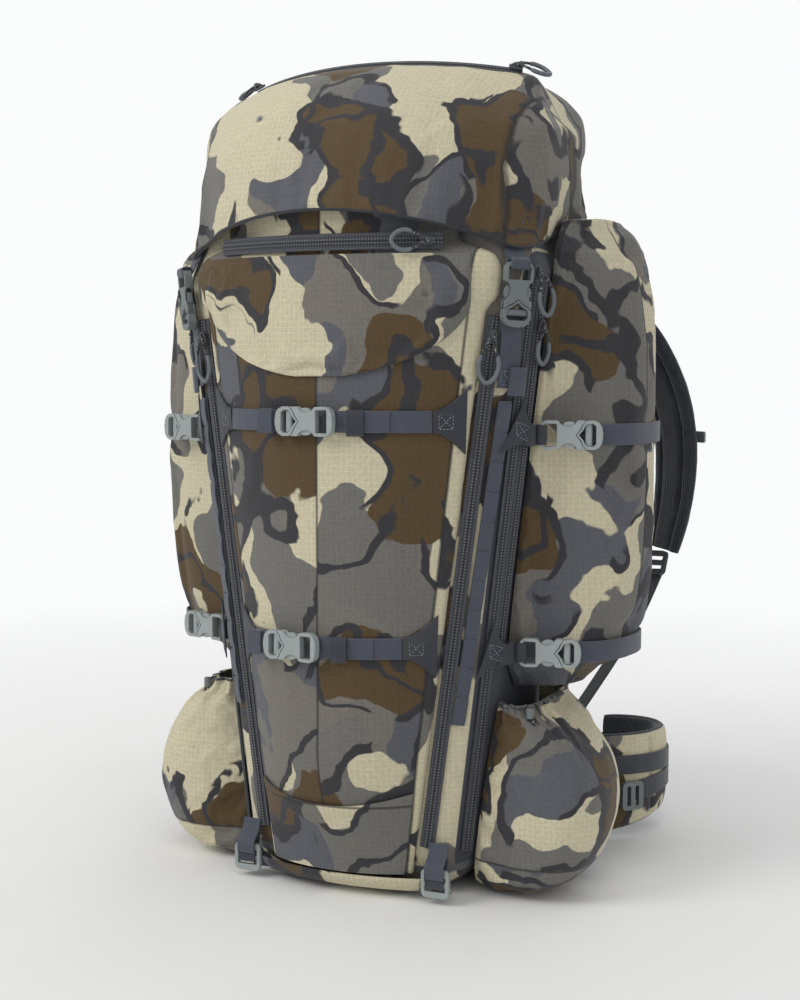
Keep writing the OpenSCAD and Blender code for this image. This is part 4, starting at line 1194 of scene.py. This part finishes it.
# ---- main bag ----
def bag_ring(z, inset=0.0, n=26):
    """Closed outline of the main bag, anticlockwise from above."""
    h, r, rb = half_width(z) - inset, CORNER - inset / 2, 25.0
    f = FRONT + inset
    side = np.linspace(f + r, -rb, 16)[1:-1]
    flat = np.full(14, h)
    runs = (np.stack([flat, side], -1), np.stack([np.linspace(h - rb, rb - h, n)[1:-1], np.zeros(n - 2)], -1),
            np.stack([-flat, side[::-1]], -1), np.zeros((0, 2)))
    pts = [np.stack([np.linspace(r - h, h - r, n), np.full(n, f)], -1)]
    corners = ((h - r, f + r, -90, r), (h - rb, -rb, 0, rb), (rb - h, -rb, 90, rb), (r - h, f + r, 180, r))
    for (cx, cy, start, radius), run in zip(corners, runs):
        a = np.radians(np.linspace(start, start + 90, 10))
        pts += [np.stack([cx + radius * np.cos(a), cy + radius * np.sin(a)], -1), run]
    p = np.concatenate(pts)
    return np.column_stack([p, np.full(len(p), float(z))])


def make_main_bag():
    heights = np.concatenate([[0, 2, 6.6, 12, 17.6, 28, 40], np.linspace(52, 636, 96), [639, 640]])
    rings = [bag_ring(z, s) for z, s in zip(heights, np.interp(heights, BASE_Z, BASE_IN))]
    inner = [bag_ring(z, 3.0) for z in (640, 600, 400, 200, 60, 24)]
    o = shell("main_bag_cloth", rings + inner, closed=True, cap_low=True, cap_high=True)
    outer = len(rings) * len(rings[0])
    outside = np.arange(len(o.data.vertices)) < outer
    push(o, lambda p: (0.55 * noise(p * [1, 1, 0.6], 34, 2) - 0.5) * outside * (p[:, 2] > 6))
    paint = camo("camo_bag", shift=(0.9, 0.2, 1.9), dark=(unit([1.0, 0, -TAPER]), 102.6))
    finish_piece(o, "pack", paint, ["main_bag"])
    o.data.materials.append(laminate)
    o.data.materials.append(lining)
    for f in o.data.polygons:
        if f.vertices[0] >= outer:
            f.material_index = 2
        elif design(f.center)[1] > -20:
            f.material_index = 1


# ---- straps on the bag ----
def laid(path, way, width=20.0, thick=1.6, side=1, n=None):
    """Webbing along design points with its width along way; it faces cross(tangent, way)."""
    p = np.asarray(path, float)
    if n:
        p = spline(p, n)
        if np.ndim(width):
            width = np.interp(np.linspace(0, 1, n), np.linspace(0, 1, len(width)), width)
    out = unit(np.cross(unit(np.gradient(p, axis=0)), way))
    return ribbon("laid", mirrored(p, side), mirrored(out, side), width, thick)


def on_panel(x, z, out):
    return np.array([x, float(panel_y(x, z)) - out, z])


# Where each front strap's buckle is, across the bag
FRONT_X = (-4.5, -20.5)


def tack(centre, ax, up, w, h, side=1):
    """Box stitching with a cross, w by h, about a design point."""
    ax, up = unit(ax), unit(up)
    out = mirrored(np.cross(ax, up), side)
    c = np.asarray(centre, float)
    box = [c + ax * (w / 2 * a) + up * (h / 2 * b) for a, b in ((-1, -1), (1, -1), (1, 1), (-1, 1), (-1, -1))]
    lines = [box[k:k + 2] for k in range(4)] + [box[0:3:2], box[1:4:2]]
    t = np.linspace(0, 1, 8)[:, None]
    return [stitches(mirrored(mix(a, b, t), side), out, 3.2, 2.0, 0.2) for a, b in lines]


def sewn_on(name, sewn):
    finish_piece(join(name, sewn), "pack", thread)


def make_front_straps():
    parts, flaps, sewn, keepers = [], [], [], []
    for z, x in zip(STRAPS, FRONT_X):
        p = float(panel_half(z))
        for a, b in ((27 - p, x - 18), (x + 18, p - 27)):
            parts.append(laid([on_panel(u, z, 2.8) for u in np.linspace(a, b, 30)], ZUP))
        # The free tail, folded back over the strap, shows as a second layer under the keeper
        parts.append(laid([on_panel(u, z, 4.3) for u in np.linspace(x + 22, x + 74, 16)], ZUP, 19.4, 1.3))
        for s in (-1, 1):
            path = [on_panel(p - 26 + 25 * k / 12, z, 3.6) for k in range(13)]
            wide = np.interp(np.linspace(0, 1, 13), np.linspace(0, 1, 5), [20, 23, 32, 45, 60])
            flaps.append(laid(path, unit([TAPER, 0, 1]), wide, 1.5, s))
            sewn += tack(path[5] + [0, -1.0, 0], path[7] - path[3], ZUP, 13, 13, s)
        x += 44
        at = local(on_panel(x, z - 1, 5), on_panel(x + 8, 0, 0) - on_panel(x - 8, 0, 0), (0.1, -1, 0))
        keepers.append(band(at, 11.5, 3.4, 16))
    finish_piece(join("front_strap_webbing", parts), "pack", webbing, ["front_straps"])
    finish_piece(join("front_strap_flaps", flaps), "pack", hypalon)
    sewn_on("front_strap_stitching", sewn)
    keeper = join("strap_keeper_bands", keepers)
    finish_piece(keeper, "pack", webbing_dark, ["strap_keepers"])


def band(at, half, rise, width, thick=1.3):
    """A folded band across a strap, from one edge to the other over a bow."""
    y = np.linspace(-half, half, 22)
    p = at(np.stack([0 * y, y, rise * (1 - (np.abs(y) / half) ** 5)], -1))
    return ribbon("band", p, at(ZUP) - at(0 * ZUP), width, thick)


def loop_of(name, at, cx, cz, w, h, width):
    """Webbing turned round a bar: a closed oval in the local x and z plane."""
    x, z = squared(np.linspace(0, 2 * math.pi, 28), 0.55)
    p = at(np.stack([cx + w / 2 * x, 0 * x, cz + h / 2 * z], -1))
    return ribbon(name, p, unit(p - at([cx, 0, cz])), width, 1.4)


def bar_loop(at, side):
    """The end of a strap, turned round the bar of a side-release buckle's socket."""
    return mirror_obj(loop_of("loop", at, 24.2, 4, 8.6, 9.6, 18.6), side)


def pouch_point(k, z):
    """The place of outline point k, which may lie between two points, at height z."""
    i = int(min(math.floor(k), len(POUCH) - 2))
    ends = POUCH[max(0, i - 1)], POUCH[i], POUCH[i + 1], POUCH[min(len(POUCH) - 1, i + 2)]
    return on_pouch(catmull(*ends, k - i), z)


def widest(k, z):
    """That place on the wider side of a strap at height z."""
    return pouch_point(k, z + 12 if z < POUCH_MID else z)


def off_pouch(k, z, out):
    t = unit(pouch_point(k + 1, z) - pouch_point(k - 1, z))
    p = widest(k, z)
    return np.array([p[0] + t[1] * out, p[1] - t[0] * out, z])


def side_frame(z):
    way = unit(pouch_point(1, z) - pouch_point(2, z))
    out = np.array([-way[1], way[0], 0])
    p = mix(widest(1, z), widest(2, z), 0.74)
    return np.array([p[0], p[1], z]) + out * 4, way, out


def make_side_straps():
    straps, patches, sewn = [], [], []
    # An anchor patch runs round the bag's corner: corner angles, distances off the bag, and widths
    angles, offsets = (36, 32, 28, 24, 20, 16), (6.2, 6.8, 7.4, 8.4, 10, 12)
    widths = [60, 46, 34, 26, 21, 20, 19.6]
    for front_z, z in zip(STRAPS, SIDE_STRAPS):
        place, way, out = side_frame(z)
        path = [off_pouch(2, z, 2) + way * 6] + [off_pouch(k, z, 2.2) for k in np.arange(2.5, 8.6, 0.5)]
        path += [np.array([114.0, 3, z]), np.array([97.0, 5, z])]
        p = [corner_point(mix(front_z - 4, z, k / 5), angles[k], offsets[k]) for k in range(6)]
        p.append(place + way * 28.6 + out * 4)
        q = spline(p, 26)
        for s in (-1, 1):
            straps.append(laid(path, ZUP, side=s, n=60))
            patches += [laid(p, ZUP, widths, 1.6, s, 26), bar_loop(local(place, way, out), s)]
            sewn += tack(q[12] + unit(np.cross(q[14] - q[10], ZUP)) * 1.1, q[15] - q[9], ZUP, 15, 13, s)
    finish_piece(join("side_strap_webbing", straps), "pack", webbing, ["side_straps"])
    finish_piece(join("anchor_patch_flaps", patches), "pack", hypalon, ["anchor_patches"])
    sewn_on("anchor_patch_stitching", sewn)


def mirror_obj(o, side):
    """Mirrors a made piece's mesh across x when side is -1."""
    if side < 0:
        co = co_of(o)
        co[:, 0] *= -1
        set_co(o, co)
        o.data.flip_normals()
    return o


def across(out):
    """The level direction across a strap that faces out."""
    return np.array([-out[1], out[0], 0])


def make_daisy():
    parts, sewn = [], []
    out = out_at(51.5)
    side = across(out)
    low, high = corner_point(168, 57, 2.2), corner_point(468, 46, 2.2)
    step = (high - low) / 11
    t = np.linspace(-2, 2, 11)
    for s in (-1, 1):
        parts.append(laid(np.linspace(low, high, 24), -side, 13, 1.2, s))
        for k in range(11):
            p = low + step * (k + 0.5 + t * 0.24)[:, None] + out * (1.4 + 0.62 * (4 - t * t) / 2)[:, None]
            parts.append(laid(p, -side, 12.6, 1.2, s))
            seam = low + step * (k + 1) + out * 1.2 + side * np.linspace(-5.6, 5.6, 6)[:, None]
            sewn.append(stitches(mirrored(seam, s), mirrored(out, s), 2.2, 1.6, 0.4))
    finish_piece(join("daisy_chain_webbing", parts), "pack", webbing, ["daisy_chains"])
    sewn_on("daisy_chain_stitching", sewn)


def lid_buckle_frame():
    out = out_at(46.5)
    low, high = corner_point(480, 46.5, 4.2), corner_point(598, 46.5, 8)
    way = unit(high - low)
    return mix(low, high, 0.735) + out * 2, way, out, low, high


def make_lid_straps():
    place, way, out, low, high = lid_buckle_frame()
    side = across(out)
    at = local(place, way, out)
    flap = local(corner_point(486, 37.5, 6), way, out_at(37.5))
    # It runs up between the lid's wall and the bag, to where it is sewn inside the lid
    run = [place + way * 29.6 + out * 4]
    run += [high + out * a + way * b for a, b in ((1.5, -9), (-5, 2), (-12, 13), (-16, 34))]
    anchors, tops, sewn = [], [], []
    for s in (-1, 1):
        anchors.append(laid([low + way * 68 * t for t in np.linspace(0, 1, 14)], -side, side=s))
        anchors.append(mirror_obj(band(flap, 8.5, 3.0, 26, 1.8), s))
        sewn += tack(low + way * 9 + out * 1.1, way, np.cross(out, way), 12, 14, s)
        tops += [bar_loop(at, s), laid(run, -side, side=s, n=26)]
    finish_piece(join("lid_anchor_webbing", anchors), "pack", webbing, ["lid_anchor_straps"])
    sewn_on("lid_anchor_stitching", sewn)
    finish_piece(join("lid_strap_webbing", tops), "lid", webbing, ["lid_straps"])


def make_bottom_straps():
    x, y, z = 100, base_front(32) - 12.2, 30
    rear = [[100, base_front(32) - 6.6, 29], [98.5, base_front(22) - 5.4, 21], [97, base_front(12) - 4, 11],
            [96, base_front(6.6) - 2.5, 4.5]]
    # The hanger comes down from the bag, round the lock's top bar and back
    hanger = [[x, base_front(56) - 1.5, 56]]
    hanger += [[x, y + a, b] for a, b in ((5, 46), (-3.4, 38), (-5.5, 31), (-4.5, 25.6), (0, 23.8), (4, 26.4),
                                          (5.2, 32))]
    hanger.append([x, base_front(44) - 2, 43])
    at = local((x, y, z), ZUP, (0, -1, 0))
    parts = []
    for s, name in SIDES:
        parts += [laid(rear, (1.0, 0, 0), 20, 1.6, s, 18), laid(hanger, (1.0, 0, 0), 19.4, 1.5, s, 40)]
        turn = mirror_obj(loop_of("bottom_lock_webbing_" + name, at, -10.5, 0, 7.6, 8.0, 19), s)
        finish_piece(turn, "bottom_lock_" + name, webbing_dark)
    finish_piece(join("bottom_strap_webbing", parts), "pack", webbing, ["bottom_straps"])


def make_haul_loop():
    half = [[-36, 19, 608], [-33, 19, 590], [-22, 19, 577]]
    p = spline(half + [[0, 19, 572]] + [[-x, y, z] for x, y, z in half[::-1]], 44)
    rim = np.array([(-0.5, 0), (-0.46, 1.3), (-0.25, 1.7), (0.25, 1.7), (0.46, 1.3)])
    o = ribbon("haul_loop_webbing", p, (0, 1, 0), 9.0, profile=np.concatenate([rim, -rim]))
    finish_piece(o, "haul_loop", webbing, ["haul_loop"])


# ---- zips and pulls ----
# The pocket's and the lid's zips are arcs. The lid's turns about LID_ARC in a plane that leans back
POCKET_ARC, POCKET_R = np.array([0, 4, 611.0]), 255.8
LID_ARC, LID_R, LID_TILT = np.array([0, 110, 720.9]), 262.2, 46
LEAN = math.radians(-14)
LID_LEAN = np.array([[1, 0, 0], [0, math.cos(LEAN), math.sin(LEAN)], [0, -math.sin(LEAN), math.cos(LEAN)]])


def on_arc(a, r, tilt, lean, centre):
    """Points at angles a along an arc, and the way out of the cloth, tilt degrees up."""
    c, s = math.cos(math.radians(tilt)), math.sin(math.radians(tilt))
    points = np.stack([r * np.sin(a), -r * np.cos(a), 0 * a], -1) @ lean + centre
    return points, np.stack([np.sin(a) * c, -np.cos(a) * c, 0 * a + s], -1) @ lean


def make_zips():
    p_out = np.array([0.95, -0.31, 0])
    p_low, p_high = [np.array([half_width(z) + 1.2, FRONT + CORNER - 8, z]) for z in (232, 570)]
    # Ends, way out, half width; then the slider's place, and its pull's width, length, lean and rise
    zips = {"front": (corner_point(50, 76, 1.4), corner_point(545, 68, 1.4), out_at(72), 7.0, 0.963,
                      (18, 42, 0, 7)),
            "bag": (corner_point(44, 26, 1.4), corner_point(588, 26, 1.4), out_at(26), 7.0, 0.995,
                    (18, 40, 16, 12)),
            "pouch": (p_low, p_high, p_out, 6.0, 0.9, (16, 34, 4, 7))}
    tapes = []
    for s, name in SIDES:
        for key, (a, b, out, half, share, pull) in zips.items():
            path = mirrored(np.linspace(a, b, 60), s)
            tapes.append(zip_strip(key + "_zip_" + name, path, mirrored(out, s), half, "pack"))
            at = local(mix(a, b, share) + out, b - a, out)
            make_pull(key + "_slider_" + name, sided_frame(at, s), *pull)
    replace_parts(tapes[0], "zip_tapes")
    arc = on_arc(np.radians(np.linspace(-26, 26, 60)), POCKET_R, 0, np.eye(3), POCKET_ARC)
    zip_strip("pocket_zip", *arc, 7.5, "pack")

    # The lid's tape keeps to one arc, so that the sliders stay on it, and the cloth is drawn to it
    arc, out = on_arc(np.radians(np.linspace(-32.5, 32.5, 60)), LID_R, LID_TILT, LID_LEAN, LID_ARC)
    on_lid = settle(arc, out, lid_cloth)
    sunk = np.sum((on_lid - arc) * out, axis=1)
    level = sunk.mean()
    meet(lid_cloth, on_lid, out, level - sunk)
    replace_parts(zip_strip("lid_zip", arc + out * level, out, 6.0, "lid"), "lid_zip_tape")
    for node, angle, way, r, drop, droop, frame_ in (
            ("pocket_slider", 23, 1, POCKET_R, 0, 0, (0, np.eye(3), POCKET_ARC)),
            ("lid_slider_left", -31, 1, LID_R, level, 5, (LID_TILT, LID_LEAN, LID_ARC)),
            ("lid_slider_right", 31, -1, LID_R, level, 5, (LID_TILT, LID_LEAN, LID_ARC))):
        t = math.radians(angle)
        place, out = on_arc(t, r + 1, *frame_)
        along = way * np.array([math.cos(t), math.sin(t), 0]) @ frame_[1]
        make_pull(node, local(place + out * drop, along, out), 18, 32, 0, 7, droop)


# ---- buckles and other hard parts ----
def make_hardware():
    for n in ("front_buckle_sockets", "side_buckle_sockets"):
        hard(n, plastic, 0.6)
    hard("lid_buckle_sockets", plastic_mid, 0.6)
    for n in ("front_plug", "side_plug_left", "side_plug_right"):
        for end in ("_upper", "_lower"):
            hard(n + end, plastic, other=webbing)
    for _, name in SIDES:
        hard("lid_plug_" + name, plastic_mid, other=webbing)
        hard("bottom_lock_" + name, plastic, 0.7)
        hard("sternum_slider_" + name, plastic_mid, 0.6)
        for n in ("shoulder_webbing_", "belt_webbing_"):
            hard(n + name, plastic_mid, other=webbing_dark, long=60)
    hard("frame_stays", carbon, 1.2)
    hard("frame_crossbars", carbon, 1.0)
    hard("yoke", laminate, 1.2)
    hard("hydration_sleeve", lining, 1.5)


# ---- harness ----
def pad(name, path, ways, widths, thicks, power, body, node, channels, cuts, face=None):
    """A foam pad swept along a path: a mesh face with channels sewn along it and cuts across it, and a
    bound edge. ways is across it, and face is another material for the side away from the wearer."""
    n = len(path)
    t = unit(np.gradient(path, axis=0))
    ways = np.broadcast_to(ways, path.shape)
    u = unit(ways - t * np.sum(ways * t, 1, keepdims=True))
    v = np.cross(t, u)
    wide, thick = squared(np.linspace(0, 2 * math.pi, 64, endpoint=False), power)
    half_w, half_t = widths[:, None] / 2, thicks[:, None] / 2
    groove = np.zeros((n, 64))
    for k in channels:
        groove = np.maximum(groove, np.exp(-(((wide - k) * half_w / 2.2) ** 2)))
    along = travel(path)
    for k in cuts:
        line = np.exp(-(((along - along[-1] * k) / 2.6) ** 2))[:, None]
        groove = np.maximum(groove, line * (np.abs(wide) < 0.9))
    half_t = half_t * (1 - 0.42 * groove)
    rings = path[:, None] + u[:, None] * (wide * half_w)[..., None] + v[:, None] * (thick * half_t)[..., None]
    o = shell(name + "_foam", rings, closed=True, cap_low=True, cap_high=True)
    push(o, lambda p: 0.6 * noise(p, 24, 3) + 0.3 * noise(p, 8, 5))
    edge = [tube("edge", path + u * (k * (half_w - 0.6)), np.minimum(2.4, thicks / 2.2), 8) for k in (-1, 1)]
    finish_piece(o, body, pad_mesh, [node])
    if face is not None:
        o.data.materials.append(face)
        for f in o.data.polygons:
            c = design(f.center)[:2] - [0, 110]
            if np.array(f.normal)[:2] @ unit(c) > 0.45:
                f.material_index = 1
    finish_piece(join(name + "_binding", edge), body, webbing_dark)


def make_harness():
    shoulder = spline([[70, 23, 540], [94, 58, 574], [136, 98, 570], [181, 124, 536], [213, 136, 482],
                       [228, 139, 426], [228, 138, 362], [218, 134, 303]], 90)
    i = np.linspace(0, 1, 90)
    across_shoulder = mix(np.array([1, 0.15, 0]), np.array([0.84, -0.54, 0.1]), ease(i * 1.4)[:, None])
    shoulder_wide = 66 - 14 * (2 * i - 1) ** 4 - 8 * i
    # Thinner at its top end, which swings close to the yoke
    shoulder_thick = 15 - 5 * (2 * i - 1) ** 6 - 1.6 * ease((0.06 - i) / 0.06)
    k = np.linspace(0, 1, 100)
    belt = spline([[100, 30, 0], [132, 34, 0], [168, 48, 0], [197, 72, 0], [214, 104, 0], [216, 138, 0],
                   [202, 166, 0], [172, 183, 0], [138, 190, 0]], 100)
    belt[:, 2] = 58 + 12 * ease(k)
    belt_wide = mix(108, 74, ease(k)) - 14 * k**8
    belt_print = camo("camo_belt", shift=(5.1, 0.3, 2.6))
    j = np.linspace(-1, 1, 50)
    level = np.array([1.0, 0, 0])
    for s, name in SIDES:
        pad("shoulder_" + name, mirrored(shoulder, s), mirrored(across_shoulder, s), shoulder_wide,
            shoulder_thick, 0.6, "shoulder_" + name, "shoulder_pad_" + name, (-0.55, 0.55), (0.3, 0.62, 0.9))
        pad("belt_" + name, mirrored(belt, s), ZUP, belt_wide, 15 - 5 * (2 * k - 1) ** 6, 0.45,
            "belt_" + name, "belt_wing_" + name, (-0.3, 0.3), (0.5,), belt_print)
        back = np.stack([46 * s + 0 * j, 20 + 3 * np.sin(math.pi / 2 * (1 + j)), 341 + 136 * j], -1)
        pad("back_" + name, back, level, 62 - 12 * j**4, np.full(50, 16.0), 0.6, "pack", "back_pad",
            (0,), (0.25, 0.5, 0.75))
    lumbar = np.stack([0 * j, 22 + 0 * j, 98 + 72 * j], -1)
    pad("lumbar", lumbar, level, 172 - 26 * j**4, 24 - 6 * j**2, 0.6, "pack", "lumbar_pad",
        (-0.45, 0, 0.45), (0.33, 0.66))


# ---- build ----
make_main_bag()
front = make_front_panel()
pocket = make_front_pocket()
make_front_cuff()
make_bottom_panel()
pouches = [make_side_pouch(s, n) for s, n in SIDES]
lows = [make_lower_pocket(s, n) for s, n in SIDES]
lid_cloth = make_lid()
make_collar()
simulate()


def fold(o, size, depth, seed, where, heights=(), squeeze=(1, 1, 0.45)):
    """Adds sharp ridges size apart, kept away from straps at the given heights."""
    def amount(p):
        ridge = 1 - np.abs(noise(p * squeeze, size, seed)) * 2.2
        d = depth * (np.maximum(0, ridge) ** 2 - 0.35) + depth * 0.35 * noise(p, size * 0.4, seed + 7)
        return d * (1 - np.clip(by_straps(p, heights, 17.0, 4), 0, 1)) * where(p)
    push(o, amount)


def off_side(p, near):
    """0 where a pouch or pocket is sewn to the bag's side, 1 further out."""
    return ease((np.abs(p[:, 0]) - root_x(p[:, 2]) - near) / 12)


fold(front, 46, 0.9, 3, lambda p: 1 - ease((p[:, 2] - 470) / 20), STRAPS)
push(front, lambda p: -0.7 * by_straps(p, STRAPS, 15.0))
fold(pocket, 60, 0.6, 9, lambda p: 1)
for k, o in enumerate(pouches):
    fold(o, 44, 1.4, 11 + k, lambda p: off_side(p, 6), SIDE_STRAPS)
for k, o in enumerate(lows):
    fold(o, 34, 1.5, 21 + k, lambda p: ease((p[:, 2] - 20) / 30) * off_side(p, 4), squeeze=(1, 1, 0.6))
fold(lid_cloth, 50, 1.3, 31, lambda p: ease((p[:, 2] - 640) / 40), squeeze=(1, 1, 1))
for o in [front, pocket, lid_cloth] + pouches + lows:
    subdivide(o)

make_front_straps()
make_side_straps()
make_daisy()
make_lid_straps()
make_bottom_straps()
make_haul_loop()
make_zips()
make_hardware()
make_harness()

for node in frame["nodes"].values():
    if not node.data.materials or node.data.materials[0] is None:
        node.data.materials.clear()
        node.data.materials.append(laminate)
